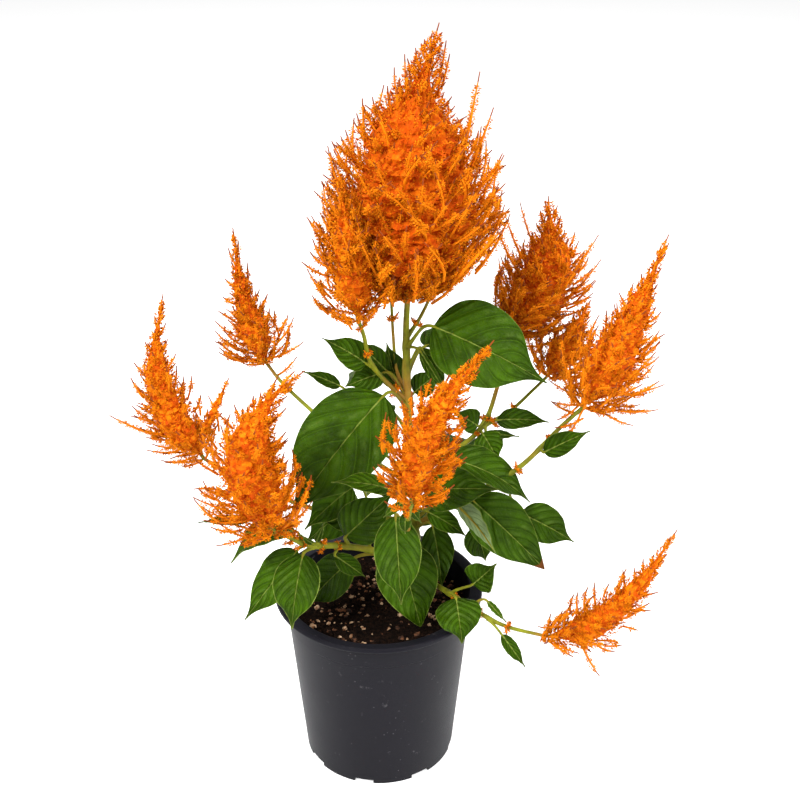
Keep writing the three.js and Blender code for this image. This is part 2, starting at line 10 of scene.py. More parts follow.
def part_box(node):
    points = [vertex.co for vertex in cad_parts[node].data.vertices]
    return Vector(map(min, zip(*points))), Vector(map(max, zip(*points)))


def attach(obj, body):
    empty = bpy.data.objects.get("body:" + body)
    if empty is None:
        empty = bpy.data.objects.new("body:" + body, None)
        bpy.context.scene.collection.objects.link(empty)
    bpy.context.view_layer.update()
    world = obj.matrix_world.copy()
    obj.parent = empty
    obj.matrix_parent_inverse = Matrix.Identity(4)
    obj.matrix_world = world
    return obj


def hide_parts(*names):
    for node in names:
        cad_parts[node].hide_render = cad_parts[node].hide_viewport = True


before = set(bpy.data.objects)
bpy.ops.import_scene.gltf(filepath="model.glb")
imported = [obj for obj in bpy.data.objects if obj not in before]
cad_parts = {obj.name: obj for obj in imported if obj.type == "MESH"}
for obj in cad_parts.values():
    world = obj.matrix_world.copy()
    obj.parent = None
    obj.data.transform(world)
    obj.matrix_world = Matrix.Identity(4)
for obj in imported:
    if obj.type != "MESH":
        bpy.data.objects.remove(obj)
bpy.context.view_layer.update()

bl_info = {
    "name": "Potted plume celosia",
    "version": (1, 0, 0),
    "blender": (4, 5, 0),
    "location": "3D View > Sidebar > Celosia",
    "description": "Dresses a plume celosia and its nursery pot on their fixed frame",
    "category": "Add Mesh",
}

MM = 0.001
GOLDEN_ANGLE = math.pi * (3 - math.sqrt(5))
TOUCHING = 1e-6  # vertices this close are merged
SLIMMING = 0.77  # the ribbed stems' radius as a share of the plain stems'
RIBS = 5  # ribs round a stem
GROWN = 24  # a blade wider than this, in millimetres, is a grown leaf's
PINCH = 0.65  # by how much a blade is pinched before its drip tip
WIDEST = 0.27  # the share of a lobe's height at which it is widest
LEADER_FROM, LEADER_OVER = 0.58, 0.24  # where a lobe narrows to its leader, and over how much
FLORETS_FROM = 0.36  # the share of a spike's length at which its florets begin
THREAD = 1.8 * MM  # length of the bare thread at the end of a spike
TUFT_SPIKES = 5  # spikes in a tuft on the stems
STALK_ROWS, STALK_SIDES = 6, 3  # rings of vertices along a spike's stalk, and vertices in each
DRAINS = 8  # drain holes in the pot's floor, and notches in its foot

# ---- the plant's plan, in millimetres ----
# Stems: name: (points from root to end, radius at the root, radius at the end).
STEMS = {
    "main": (
        [(17, 4, 84), (20, 4, 130), (22, 4, 180), (18, 5, 245), (17, 5, 290), (18, 5, 313)],
        4.6, 2.1),
    "head_left": (
        [(18, 5, 246), (8, -2, 259), (-3, -9, 277), (-7, -16, 298), (-10, -20, 309)],
        1.9, 1.4),
    "head_right": ([(17, 5, 286), (25, 11, 296), (33, 19, 310)], 1.5, 1.1),
    "head_back": ([(18, 5, 250), (12, 16, 260), (10, 27, 278), (9, 31, 298)], 1.5, 1.1),
    "right_back": (
        [(21, 4, 196), (46, 17, 205), (64, 26, 217), (74, 42, 235), (82, 60, 264)],
        2.2, 1.5),
    "right_side": ([(64, 26, 217), (82, 34, 224), (97, 40, 236), (105, 43, 243)], 1.6, 1.2),
    "right": ([(22, 4, 160), (50, 1, 180), (84, 1, 202), (110, 5, 229), (122, 7, 240)], 2.6, 1.6),
    "right_low": (
        [(19, 4, 121), (31, -15, 132), (45, -33, 134), (72, -45, 122), (100, -50, 116)],
        2.4, 1.3),
    "front": (
        [(21, 4, 140), (20, -18, 158), (17, -46, 190), (17, -68, 214), (18, -76, 226)],
        2.5, 1.6),
    "left_low": (
        [(20, 4, 132), (-4, -22, 160), (-22, -35, 172), (-39, -46, 180), (-57, -68, 205)],
        3, 1.7),
    "left_back": (
        [(20, 4, 190), (-8, 13, 206), (-40, 24, 231), (-58, 33, 246), (-67, 39, 256)],
        2.1, 1.3),
    "left": (
        [(21, 4, 165), (-20, -3, 172), (-60, -8, 190), (-87, -10, 207), (-101, -10, 217)],
        2.2, 1.4),
    "back": ([(20, 4, 200), (20, 40, 229), (20, 62, 256), (19, 75, 281)], 2, 1.3),
}

# Leaves: name, stem and share of its length where the petiole grows, neck and tip of the
# blade, width, the way the upper side looks, how far the midrib bows, degrees that each half
# tilts up, and the finish where it isn't deep green.
LEAVES = [
    ("upper_right", "main", 0.86, (32, -6, 298), (95, -22, 270), 48, (1, -6, 4), 6, 8),
    ("big_left", "main", 0.69, (4, -14, 259), (-50, -46, 198), 51, (-1, -5, 4), 8, 12),
    ("front_edge", "front", 0.78, (6, -50, 219), (-25, -64, 232), 13, (0, -2, 3), 3, 15, "fresh"),
    ("front_left", "left_low", 0.5, (-19, -33, 177), (9, -30, 205), 27, (0, -5, 3), 3, 10),
    ("left_inner", "left_low", 0.36, (-10, -13, 183), (-37, -25, 184),
     24, (-1, -5, 3), 3, 12, "edged"),
    ("front", "front", 0.5, (10, -42, 196), (13, -52, 142), 27, (0, -5, 2), 4, 10, "edged"),
    ("low_front", "main", 0.3, (12, -14, 158), (25, -36, 114), 37, (0, -5, 5), 5, 10, "edged"),
    ("rim_left", "left_low", 0.68, (-43, -48, 175), (-50, -66, 136),
     27, (-1, -5, 3), 4, 10, "edged"),
    ("rim_far_left", "left_low", 0.64, (-47, -38, 171), (-79, -48, 129),
     24, (-2, -5, 4), 1, 8, "fresh"),
    ("over_soil", "left_low", 0.28, (-16, -20, 152), (-44, -12, 114), 26, (0, -4, 5), 3, 8),
    ("rim_left_small", "left_low", 0.55, (-25, -38, 167), (-8, -32, 148), 11, (0, -5, 4), 2, 8),
    ("low_left", "left_low", 0.76, (-47, -44, 188), (-84, -50, 171), 22, (-1, -1, 5), 7, 20),
    ("low_right", "main", 0.33, (33, -5, 166), (39, -8, 123), 20, (1, -5, 3), 4, 8),
    ("front_right", "main", 0.45, (27, -22, 201), (69, -40, 212), 27, (1, -5, 4), 5, 10),
    ("front_right_low", "main", 0.38, (30, -12, 180), (53, -18, 166),
     13, (0, -4, 5), 3, 8, "fresh"),
    ("right_arch", "main", 0.5, (42, -2, 211), (92, -2, 180), 28, (1, -2, 5), 6, 12),
    ("right_large", "main", 0.36, (55, -19, 193), (98, -35, 154), 33, (1, -5, 3), 5, 8, "burnt"),
    ("right_outer", "right", 0.5, (85, -16, 181), (117, -20, 163), 23, (1, -5, 4), 3, 8),
    ("right_pale", "main", 0.47, (46, -31, 197), (67, -50, 176), 17, (3, 4, 1), 2, 4),
    ("right_under", "right", 0.22, (57, -22, 176), (64, -24, 153), 20, (1, -5, 3), 2, 10, "fresh"),
    ("low_branch_up", "right_low", 0.42, (56, -38, 146), (69, -42, 163), 20, (0, -5, 4), 2, 12),
    ("low_branch", "right_low", 0.4, (46, -38, 136), (49, -54, 115), 27, (0, -5, 4), 3, 8),
    ("low_branch_tip", "right_low", 0.66, (73, -49, 117), (87, -54, 97), 8, (0, -5, 4), 1, 10),
    ("node_right", "right_back", 0.44, (64, 22, 215), (74, 12, 200),
     18, (0, -5, 4), 2, 15, "fresh"),
    ("node_left", "right_back", 0.53, (61, 20, 221), (45, 16, 233), 15, (0, -5, 4), 2, 12),
    ("node_outer", "right_side", 0.2, (73, 25, 222), (104, 20, 223), 14, (0, -4, 5), 3, 10),
    ("right_axil", "right", 0.72, (99, -1, 214), (125, -3, 229), 14, (0, -5, 4), 3, 12),
    ("upper_left", "head_left", 0.5, (-6, -9, 277), (-30, -14, 295), 17, (0, -5, 4), 3, 8),
    ("upper_left_low", "main", 0.72, (4, 0, 267), (-18, -4, 260), 16, (0, -5, 4), 2, 8),
    ("upper_left_back", "main", 0.72, (6, 12, 262), (-12, 20, 278), 14, (0, -5, 4), 2, 8),
    ("upper_back", "main", 0.7, (12, 14, 250), (6, 26, 274), 17, (0, -5, 4), 2, 8),
    ("upper_behind", "main", 0.7, (22, 10, 249), (36, 18, 257), 15, (0, -5, 4), 2, 8),
    ("upper_narrow", "main", 0.8, (26, 4, 280), (40, -4, 254), 11, (1, -5, 3), 2, 12),
    ("left_bud", "left_back", 0.3, (-21, -5, 261), (-42, -12, 274), 8, (0, -5, 4), 2, 10),
    ("hidden_left", "main", 0.48, (0, 20, 204), (-46, 40, 182), 32, (-1, 2, 5), 8, 10),
    ("hidden_right", "main", 0.46, (36, 24, 200), (66, 62, 180), 32, (1, 2, 5), 8, 10),
    ("hidden_high", "back", 0.5, (12, 50, 240), (-20, 74, 222), 28, (-1, 2, 5), 6, 10),
    ("hidden_low", "main", 0.32, (14, 24, 168), (-8, 62, 146), 32, (0, 2, 5), 7, 10, "edged"),
    ("hidden_low_right", "main", 0.3, (34, 22, 160), (58, 52, 138), 30, (1, 2, 5), 6, 10),
    ("hidden_low_left", "main", 0.3, (2, 14, 156), (-44, 28, 146), 30, (-1, 1, 5), 6, 10, "edged"),
    ("hidden_soil_left", "main", 0.24, (4, 22, 152), (-24, 56, 128), 30, (-1, 2, 4), 6, 10),
    ("hidden_soil_right", "main", 0.22, (24, 24, 148), (50, 52, 130),
     28, (1, 2, 4), 6, 10, "fresh"),
    ("hidden_upper", "main", 0.78, (29, 25, 272), (70, 60, 252), 32, (1, 1, 5), 6, 10),
    ("hidden_middle", "main", 0.6, (8, 22, 230), (-29, 50, 202), 32, (-1, 2, 4), 6, 10),
]

# Lobes of the plumes: node, what the lobe's own name adds to it, the points of its axis, girth,
# how fully it keeps that girth, number of spikes and seed.
LOBES = [
    ("plume_main", "", [(18, 5, 313), (21, 4, 368), (21, 2, 412), (33, 0, 461)], 50, 1.55, 450, 3),
    ("plume_main", "_left", [(-10, -20, 309), (-13, -22, 345), (-20, -20, 390)], 22, 1.6, 84, 5),
    ("plume_main", "_right", [(33, 19, 310), (42, 22, 338), (54, 25, 366)], 16, 1.4, 36, 7),
    ("plume_main", "_back", [(9, 31, 298), (4, 35, 335), (-2, 38, 369)], 20, 1.4, 40, 9),
    ("plume_right_back", "", [(82, 60, 265), (101, 66, 291), (106, 70, 315), (104, 75, 347)],
     30, 2.2, 190, 13),
    ("plume_right_side", "", [(105, 43, 243), (117, 46, 262), (130, 53, 289)], 20, 1.4, 66, 15),
    ("plume_right", "", [(122, 7, 240), (140, 10, 275), (153, 12, 310), (164, 15, 343)],
     28, 0.75, 130, 17),
    ("plume_right_low", "", [(100, -50, 116), (123, -52, 124), (147, -57, 153), (167, -60, 196)],
     19, 1, 72, 19),
    ("plume_front", "", [(18, -76, 226), (26, -88, 278), (56, -101, 331)], 22, 1.1, 120, 21),
    ("plume_left_low", "", [(-57, -68, 205), (-67, -83, 260), (-55, -82, 290), (-37, -76, 304)],
     27, 1.5, 140, 23),
    ("plume_left_back", "", [(-67, 39, 256), (-78, 43, 292), (-83, 50, 337)], 22, 0.6, 74, 25),
    ("plume_left", "", [(-101, -10, 217), (-121, -8, 251), (-124, -4, 284), (-118, 0, 316)],
     22, 1.0, 84, 27),
    ("plume_left", "_twig", [(-105, -9, 226), (-93, -8, 248), (-84, -6, 267)], 6, 0.9, 12, 31),
    ("plume_back", "", [(19, 75, 281), (17, 85, 312), (14, 96, 348)], 18, 1.4, 40, 29),
]

# Tufts of young florets: stem: pairs of a share of its length and how far the tuft stands out.
TUFTS = {
    "left_low": [(0.83, 8), (0.75, 7), (0.63, 7), (0.55, 4), (0.95, 6)],
    "head_right": [(0.81, 6), (0.3, 5)],
    "right_back": [(0.41, 6), (0.5, 7)],
    "right_side": [(0.12, 7), (0.44, 5)],
    "head_left": [(0.64, 5), (0.15, 6), (0.9, 7)],
    "head_back": [(0.8, 7)],
    "right": [(0.57, 6), (0.78, 4)],
    "right_low": [(0.44, 4), (0.6, 4), (0.77, 5), (0.97, 9)],
    "front": [(0.9, 6)],
    "left_back": [(0.55, 4), (0.8, 5)],
    "left": [(0.93, 6)],
}

# Bracts, laid out like leaves.
BRACTS = [
    ("front_right", "front", 0.88, (15, -65, 219), (24, -60, 203), 6, (1, -5, 3), 1, 12, "fresh"),
    ("front_left", "front", 0.88, (13, -65, 219), (3, -62, 208), 5, (-1, -5, 3), 1, 12, "fresh"),
    ("front_low", "front", 0.75, (15, -62, 211), (15, -60, 196), 7, (0, -5, 2), 1, 12, "fresh"),
    ("node_back", "right_side", 0.04, (67, 22, 214), (86, 15, 216), 6, (0, -4, 5), 1, 10),
    ("low_branch", "right_low", 0.55, (64, -44, 138), (75, -50, 127),
     4, (0, -5, 4), 1, 10, "fresh"),
    ("left_outer", "left_low", 0.97, (-70, -70, 212), (-97, -73, 213), 6, (0, -4, 5), 2, 10),
    ("head_right", "main", 0.86, (25, -2, 281), (41, -8, 255), 4, (0, -5, 2), 1, 10),
    ("left_fold", "left_low", 0.3, (-15, -12, 198), (-43, -28, 179),
     21, (-1, -5, 4), 3, 14, "edged"),
    ("left_behind", "left_low", 0.2, (-16, 2, 176), (-44, -8, 157), 24, (-1, -5, 4), 3, 10),
    ("left_low_up", "left_low", 0.66, (-35, -49, 184), (-30, -54, 200),
     4, (-1, -5, 0), 1, 14, "fresh"),
    ("left_low_out", "left_low", 0.68, (-37, -50, 184), (-43, -57, 194),
     4, (-1, -5, 2), 1, 14, "fresh"),
]

# Leaves that are pinched by less than PINCH, and leaves whose waves have a height of their own.
DRIP = {"low_front": 0.05, "right_large": 0.25}
WAVES = {"low_right": 2, "low_branch_up": 2, "low_branch": 3}

# By how much a lobe's lowest spikes are shorter, on which side (1 is right), and up to what
# share of its height.
SKIRT = {
    "plume_main": (0.55, 1, 0.14),
    "plume_main_right": (0.5, 1, 0.14),
    "plume_right_back": (0.4, -1, 0.35),
}

# Lone spikes that stand out of a lobe: lobe: pairs of foot and tip.
STRAYS = {
    "plume_main": [
        ((40, 0, 366), (54, 0, 434)), ((42, 4, 366), (62, 6, 415)), ((58, 0, 379), (67, -4, 395)),
        ((57, 0, 368), (69, -4, 379)), ((57, 0, 360), (68, -4, 364)),
        ((-12, 0, 384), (-22, 0, 401)), ((-14, 0, 376), (-22, 0, 391)),
        ((-5, -2, 402), (-6, -4, 424)), ((-1, 0, 410), (5, 0, 430)), ((17, 3, 426), (16, 3, 445)),
        ((34, 2, 434), (37, 2, 452)), ((35, 4, 428), (39, 4, 445)),
    ],
    "plume_main_left": [
        ((-24, -16, 332), (-39, -18, 341)), ((-24, -16, 348), (-35, -18, 365)),
        ((-22, -18, 314), (-36, -20, 337)),
    ],
    "plume_right_back": [
        ((93, 66, 296), (72, 55, 334)), ((102, 66, 280), (135, 76, 320)),
        ((98, 70, 315), (87, 70, 344)), ((92, 62, 308), (77, 58, 341)),
        ((102, 70, 300), (102, 72, 333)), ((112, 70, 278), (138, 76, 305)),
    ],
    "plume_right": [
        ((128, 8, 248), (167, 6, 254)), ((124, 8, 246), (102, 14, 254)),
        ((128, 4, 243), (164, 2, 240)), ((120, 8, 235), (103, 8, 243)),
        ((122, 4, 234), (105, 0, 230)), ((120, 7, 242), (106, 2, 234)),
        ((122, 6, 240), (112, 0, 224)), ((126, 6, 243), (103, 6, 244)),
        ((128, 4, 242), (150, 0, 231)), ((127, 5, 243), (157, 4, 239)),
    ],
    "plume_right_low": [
        ((116, -52, 122), (131, -58, 93)), ((108, -52, 122), (98, -54, 114)),
        ((107, -50, 124), (94, -52, 125)),
    ],
    "plume_left_low": [
        ((-60, -71, 216), (-97, -76, 230)), ((-59, -70, 210), (-87, -76, 200)),
        ((-64, -80, 220), (-92, -82, 220)),
    ],
    "plume_left_back": [
        ((-69, 40, 260), (-93, 42, 271)), ((-67, 39, 258), (-44, 36, 270)),
        ((-67, 42, 257), (-91, 44, 261)), ((-60, 37, 248), (-48, 34, 261)),
    ],
    "plume_left": [
        ((-110, -9, 230), (-151, -12, 246)),
    ],
}


# ---- sizes and colours that a user may change ----

class CelosiaSizes(bpy.types.PropertyGroup):
    """Sizes of the pot and of the plant's small parts."""

    pot_height: FloatProperty(
        name="Pot height", description="Height of the pot to the top of its lip",
        default=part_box("pot")[1][2], unit="LENGTH", subtype="DISTANCE")
    rim_radius: FloatProperty(
        name="Rim radius", description="Outer radius of the pot's lip",
        default=65 * MM, unit="LENGTH", subtype="DISTANCE")
    foot_radius: FloatProperty(
        name="Foot radius", description="Outer radius of the pot where it stands",
        default=48 * MM, unit="LENGTH", subtype="DISTANCE")
    wall: FloatProperty(
        name="Wall", description="Thickness of the pot's wall",
        default=1.5 * MM, unit="LENGTH", subtype="DISTANCE")
    soil_level: FloatProperty(
        name="Soil level", description="Height of the potting mix",
        default=105 * MM, unit="LENGTH", subtype="DISTANCE")
    crumbs: IntProperty(
        name="Perlite grains", description="How many grains of perlite lie in the potting mix",
        default=210)
    blade: FloatProperty(
        name="Blade", description="Thickness of a leaf's blade",
        default=0.5 * MM, unit="LENGTH", subtype="DISTANCE")
    petiole: FloatProperty(
        name="Petiole", description="Radius of a leaf's stalk",
        default=0.95 * MM, unit="LENGTH", subtype="DISTANCE")
    floret: FloatProperty(
        name="Floret", description="Length of a floret at the foot of its spike",
        default=1.6 * MM, unit="LENGTH", subtype="DISTANCE")
    florets_per_mm: FloatProperty(
        name="Florets per millimetre", description="How densely a spike is set with florets",
        default=4.1)
    fill: FloatProperty(
        name="Room for each floret",
        description="Square millimetres of a plume's surface for each filling floret",
        default=1.9)


class CelosiaColours(bpy.types.PropertyGroup):
    """Base colours of the pot and the plant."""

    pot: FloatVectorProperty(
        name="Pot", description="Plastic of the pot",
        default=(0.0045, 0.0042, 0.0065), subtype="COLOR")
    leaf: FloatVectorProperty(
        name="Leaf", description="Upper side of a grown leaf",
        default=(0.024, 0.056, 0.0008), subtype="COLOR")
    leaf_vein: FloatVectorProperty(
        name="Leaf vein", description="Midrib and margin of a leaf",
        default=(0.20, 0.26, 0.045), subtype="COLOR")
    stem: FloatVectorProperty(
        name="Stem", description="Skin of the stems",
        default=(0.155, 0.165, 0.008), subtype="COLOR")
    floret: FloatVectorProperty(
        name="Floret", description="Fully coloured floret",
        default=(0.80, 0.24, 0.004), subtype="COLOR")
    # The colour of painted shade on florets deep inside a plume.
    floret_shaded: FloatVectorProperty(
        name="Deep floret", description="Floret deep in a plume",
        default=(0.46, 0.06, 0.002), subtype="COLOR")


# ---- curves ----

def unit(vectors):
    """The vectors at length 1."""
    return vectors / np.linalg.norm(vectors, axis=-1, keepdims=True)


class Track:
    """A smooth curve through points given in millimetres, measured by the share of its length."""

    def __init__(self, points):
        given = np.array(points, float) * MM
        padded = np.vstack([2 * given[0] - given[1], given, 2 * given[-1] - given[-2]])
        step = np.linspace(0, 1, 40, endpoint=False)[:, None]
        spans = []
        for before, here, there, after in zip(padded, padded[1:], padded[2:], padded[3:]):
            near, mid, far = (math.sqrt(np.linalg.norm(b - a)) for a, b in
                              ((before, here), (here, there), (there, after)))
            out = ((here - before) / near - (there - before) / (near + mid)
                   + (there - here) / mid) * mid
            into = ((there - here) / mid - (after - here) / (mid + far)
                    + (after - there) / far) * mid
            spans.append(here + out * step + (3 * (there - here) - 2 * out - into) * step ** 2
                         + (2 * (here - there) + out + into) * step ** 3)
        self.points = np.vstack(spans + [given[-1:]])
        steps = np.linalg.norm(np.diff(self.points, axis=0), axis=1)
        self.run = np.concatenate([[0], np.cumsum(steps)])
        self.length = self.run[-1]

    def at(self, share):
        """Points at one or more shares of the length."""
        where = np.clip(np.asarray(share, float), 0, 1) * self.length
        return np.stack([np.interp(where, self.run, axis) for axis in self.points.T], axis=-1)

    def heading(self, share):
        """Directions at one or more shares of the length."""
        share = np.asarray(share, float)
        return unit(self.at(share + 0.01) - self.at(share - 0.01))


def bezier(corners, share):
    """Points of a quadratic or cubic curve given by its corners."""
    share = np.asarray(share, float)[:, None]
    layers = [np.broadcast_to(corner, (len(share), 3)) for corner in corners]
    while len(layers) > 1:
        layers = [a * (1 - share) + b * share for a, b in zip(layers, layers[1:])]
    return layers[0]


def frames_along(path):
    """Two directions across the path at each of its points, which don't twist along it."""
    heading = unit(np.gradient(path, axis=0))
    start = np.eye(3)[np.argmin(np.abs(heading[0]))]
    across = [unit(np.cross(heading[0], start))]
    for now in heading[1:]:
        across.append(unit(across[-1] - now * np.dot(across[-1], now)))
    across = np.array(across)
    return across, np.cross(heading, across)


def spread(heading, turn, start=(0, 1, 0)):
    """Directions across the heading, turned about it."""
    across = unit(np.cross(heading, start))
    return across * np.cos(turn) + np.cross(heading, across) * np.sin(turn)


STEM_TRACKS = {name: Track(points) for name, (points, _, _) in STEMS.items()}


def stem_radius(name, share):
    """A stem's radius at a share of its length, in metres."""
    _, root, end = STEMS[name]
    return (root + (end - root) * share) * MM


# ---- modelling ----

def deselect():
    """Nothing is selected, so the next tool acts on its own piece alone."""
    bpy.ops.object.select_all(action="DESELECT")


def select(*pieces):
    """Only these are selected, and the first is active."""
    deselect()
    for piece in pieces:
        piece.select_set(True)
    bpy.context.view_layer.objects.active = pieces[0]


def points_of(piece):
    """The places of a piece's vertices."""
    places = np.empty(len(piece.data.vertices) * 3, np.float32)
    piece.data.vertices.foreach_get("co", places)
    return places.reshape(-1, 3).astype(float)


def place(piece, places):
    """Moves a piece's vertices."""
    piece.data.vertices.foreach_set("co", np.asarray(places, np.float32).ravel())
    piece.data.update()


def named(name):
    """The piece that a tool has just added, with its name."""
    piece = bpy.context.object
    piece.name = name
    piece.data.name = name
    return piece


def grid(name, columns, rows):
    """A new grid, with each vertex's place across it, from -1 to 1, and along it, from 0 to 1."""
    deselect()
    bpy.ops.mesh.primitive_grid_add(x_subdivisions=columns, y_subdivisions=rows, size=2)
    piece = named(name)
    flat = points_of(piece)
    return piece, flat[:, 0], (flat[:, 1] + 1) / 2


def weld(piece, outward=False):
    """Joins the vertices that lie on each other and, if asked, turns the faces outward."""
    select(piece)
    bpy.ops.object.mode_set(mode="EDIT")
    bpy.ops.mesh.select_all(action="SELECT")
    bpy.ops.mesh.remove_doubles(threshold=TOUCHING)
    if outward:
        bpy.ops.mesh.normals_make_consistent(inside=False)
    bpy.ops.object.mode_set(mode="OBJECT")


def apply(piece, kind, **settings):
    """Adds a modifier with these settings and applies it."""
    select(piece)
    bpy.ops.object.modifier_add(type=kind)
    modifier = piece.modifiers[-1]
    for key, value in settings.items():
        setattr(modifier, key, value)
    bpy.ops.object.modifier_apply(modifier=modifier.name)


def smooth(piece, degrees=None):
    """Shades a piece smoothly, apart from edges sharper than the angle."""
    select(piece)
    if degrees is None:
        bpy.ops.object.shade_smooth()
    else:
        bpy.ops.object.shade_smooth_by_angle(angle=math.radians(degrees))


def join(first, *others):
    """Makes several pieces one."""
    select(first, *others)
    bpy.ops.object.join()
    return first


def tube(name, path, radius, sides):
    """A closed round bar along a path, rolled up from a grid. radius has a row for each point of
    the path, with one number for all sides or one for each."""
    piece, across, along = grid(name, sides, len(path) + 1)
    path, side, other = (np.vstack([rows[:1], rows, rows[-1:]])
                         for rows in (path, *frames_along(path)))
    closed = np.zeros_like(radius[:1])
    radius = np.vstack([closed, radius, closed])
    row = np.rint(along * (len(path) - 1)).astype(int)
    column = np.rint((across + 1) / 2 * sides).astype(int) % sides
    angle = column * 2 * math.pi / sides
    reach = radius[row, column % radius.shape[1]]
    place(piece, path[row] + reach[:, None] * (side[row] * np.cos(angle)[:, None]
                                               + other[row] * np.sin(angle)[:, None]))
    weld(piece)
    return piece


def mark(piece, name, values, domain="POINT"):
    """Stores one number for each vertex or face of a piece."""
    layer = piece.data.attributes.new(name, "FLOAT", domain)
    layer.data.foreach_set("value", np.asarray(values, np.float32))


def finish(piece, node, slot, *materials):
    """A finished piece rides on the plant, stands for its CAD node and has its materials."""
    for material in materials:
        piece.data.materials.append(material)
    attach(piece, "root")
    if node:
        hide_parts(node)


# ---- materials ----

class Value:
    """A socket's value in a material, used in ordinary expressions."""

    def __init__(self, nodes, socket):
        self.nodes = nodes
        self.socket = socket

    def math(self, operation, *others):
        terms = dict(enumerate((self, *others)))
        return self.nodes.add("ShaderNodeMath", {"operation": operation}, terms)

    def __add__(self, other):
        return self.math("ADD", other)

    __radd__ = __add__

    def __sub__(self, other):
        return self.math("SUBTRACT", other)

    def __rsub__(self, other):
        return self.math("MULTIPLY", -1).math("ADD", other)

    def __mul__(self, other):
        return self.math("MULTIPLY", other)

    __rmul__ = __mul__

    def __abs__(self):
        return self.math("ABSOLUTE")


class Nodes:
    """The node tree of one material."""

    def __init__(self, name):
        self.material = bpy.data.materials.new(name)
        self.material.use_nodes = True
        self.tree = self.material.node_tree
        self.tree.nodes.clear()

    def add(self, kind, settings=None, sockets=None, out=0):
        """Adds a node: first its settings, then the values or links of its sockets."""
        node = self.tree.nodes.new(kind)
        for key, value in (settings or {}).items():
            setattr(node, key, value)
        for key, value in (sockets or {}).items():
            if isinstance(value, Value):
                self.tree.links.new(value.socket, node.inputs[key])
            else:
                node.inputs[key].default_value = value
        return Value(self, node.outputs[out]) if node.outputs else node

    def place(self):
        """Object coordinates."""
        return self.add("ShaderNodeTexCoord", out=3)

    def noise(self, scale, detail=3, roughness=0.55):
        """A soft cloud from 0 to 1. scale is in turns per metre."""
        return self.add("ShaderNodeTexNoise", None, {
            "Vector": self.place(), "Scale": scale, "Detail": detail, "Roughness": roughness})

    def cells(self, scale, feature="F1"):
        """Distance from the middle of a cell, or from its edge."""
        return self.add("ShaderNodeTexVoronoi", {"feature": feature},
                        {"Vector": self.place(), "Scale": scale})

    def stored(self, name):
        """A number stored on the piece."""
        return self.add("ShaderNodeAttribute", {"attribute_name": name}, out=2)

    def ramp(self, value, low, high):
        """0 below low, 1 above high and smooth between them. high may be under low."""
        return self.add("ShaderNodeMapRange", {"interpolation_type": "SMOOTHSTEP"},
                        {"Value": value, "From Min": low, "From Max": high})

    def mix(self, share, first, second):
        """A colour between two colours."""
        first, second = (c if isinstance(c, Value) else (*c, 1) for c in (first, second))
        return self.add("ShaderNodeMix", {"data_type": "RGBA"},
                        {0: share, 6: first, 7: second}, out=2)

    def bump(self, height, depth):
        """A normal from a height map, whose full height is depth metres."""
        return self.add("ShaderNodeBump", None,
                        {"Height": height, "Strength": 1.0, "Distance": depth})

    def surface(self, see_through=None, **sockets):
        """The material's surface. see_through is the share and colour of light from behind."""
        inputs = {key.replace("_", " "): value for key, value in sockets.items()}
        shader = self.add("ShaderNodeBsdfPrincipled", None, inputs)
        if see_through:
            share, colour = see_through
            behind = self.add("ShaderNodeBsdfTranslucent", None, {"Color": colour})
            shader = self.add("ShaderNodeMixShader", None, {0: share, 1: shader, 2: behind})
        self.add("ShaderNodeOutputMaterial", None, {"Surface": shader})
        return self.material


def scaled(colour, factor):
    """A colour made darker or lighter."""
    return tuple(min(1.0, channel * factor) for channel in colour)


def pot_plastic(colours):
    """Dull dark plastic with dust and scuffs."""
    n = Nodes("pot_plastic")
    haze = n.noise(26, 4)
    grain = n.noise(1900, 2)
    dust = n.ramp(n.cells(330), 0.10, 0.05) * n.ramp(n.noise(60, 2), 0.52, 0.60)
    scuffs = n.ramp(n.noise(150, 6, 0.75), 0.63, 0.72) * 0.35
    marks = (dust + scuffs).math("MINIMUM", 1)
    base = n.mix(haze, scaled(colours.pot, 0.8), scaled(colours.pot, 1.25))
    colour = n.mix(marks * 0.55, base, (0.22, 0.21, 0.22))
    return n.surface(
        Base_Color=colour, Roughness=0.40 + haze * 0.12 + marks * 0.25, Specular_IOR_Level=0.09,
        Normal=n.bump(grain + haze * 2, 0.00006))


def potting_mix(name, tone=1.0):
    """Damp dark peat."""
    n = Nodes(name)
    lumps = n.noise(420, 5, 0.7)
    fibres = n.cells(650)
    colour = n.mix(n.ramp(lumps, 0.35, 0.7), scaled((0.0015, 0.0008, 0.0005), tone),
                   scaled((0.013, 0.006, 0.0033), tone))
    return n.surface(
        Base_Color=colour, Roughness=0.95, Specular_IOR_Level=0.05,
        Normal=n.bump(lumps + fibres * 0.5, 0.0012))


def mineral(name, light, dark, spots):
    """Rough grains of two colours in spots."""
    n = Nodes(name)
    grain = n.noise(900, 4, 0.7)
    colour = n.mix(n.ramp(n.noise(spots, 3), 0.35, 0.65), light, dark)
    return n.surface(
        Base_Color=colour, Roughness=0.85, Specular_IOR_Level=0.2, Normal=n.bump(grain, 0.0006))


def stem_skin(name, colour, blush):
    """Mottled green skin with a reddish blush."""
    n = Nodes(name)
    mottle = n.noise(160, 4)
    red = n.ramp(n.noise(34, 2), 0.48, 0.68) * blush
    base = n.mix(n.ramp(mottle, 0.3, 0.75), scaled(colour, 0.72), scaled(colour, 1.2))
    return n.surface(
        (0.12, (*scaled(colour, 1.3), 1)), Base_Color=n.mix(red, base, (0.30, 0.10, 0.022)),
        Roughness=0.45 + mottle * 0.16, Specular_IOR_Level=0.12, Normal=n.bump(mottle, 0.0003))


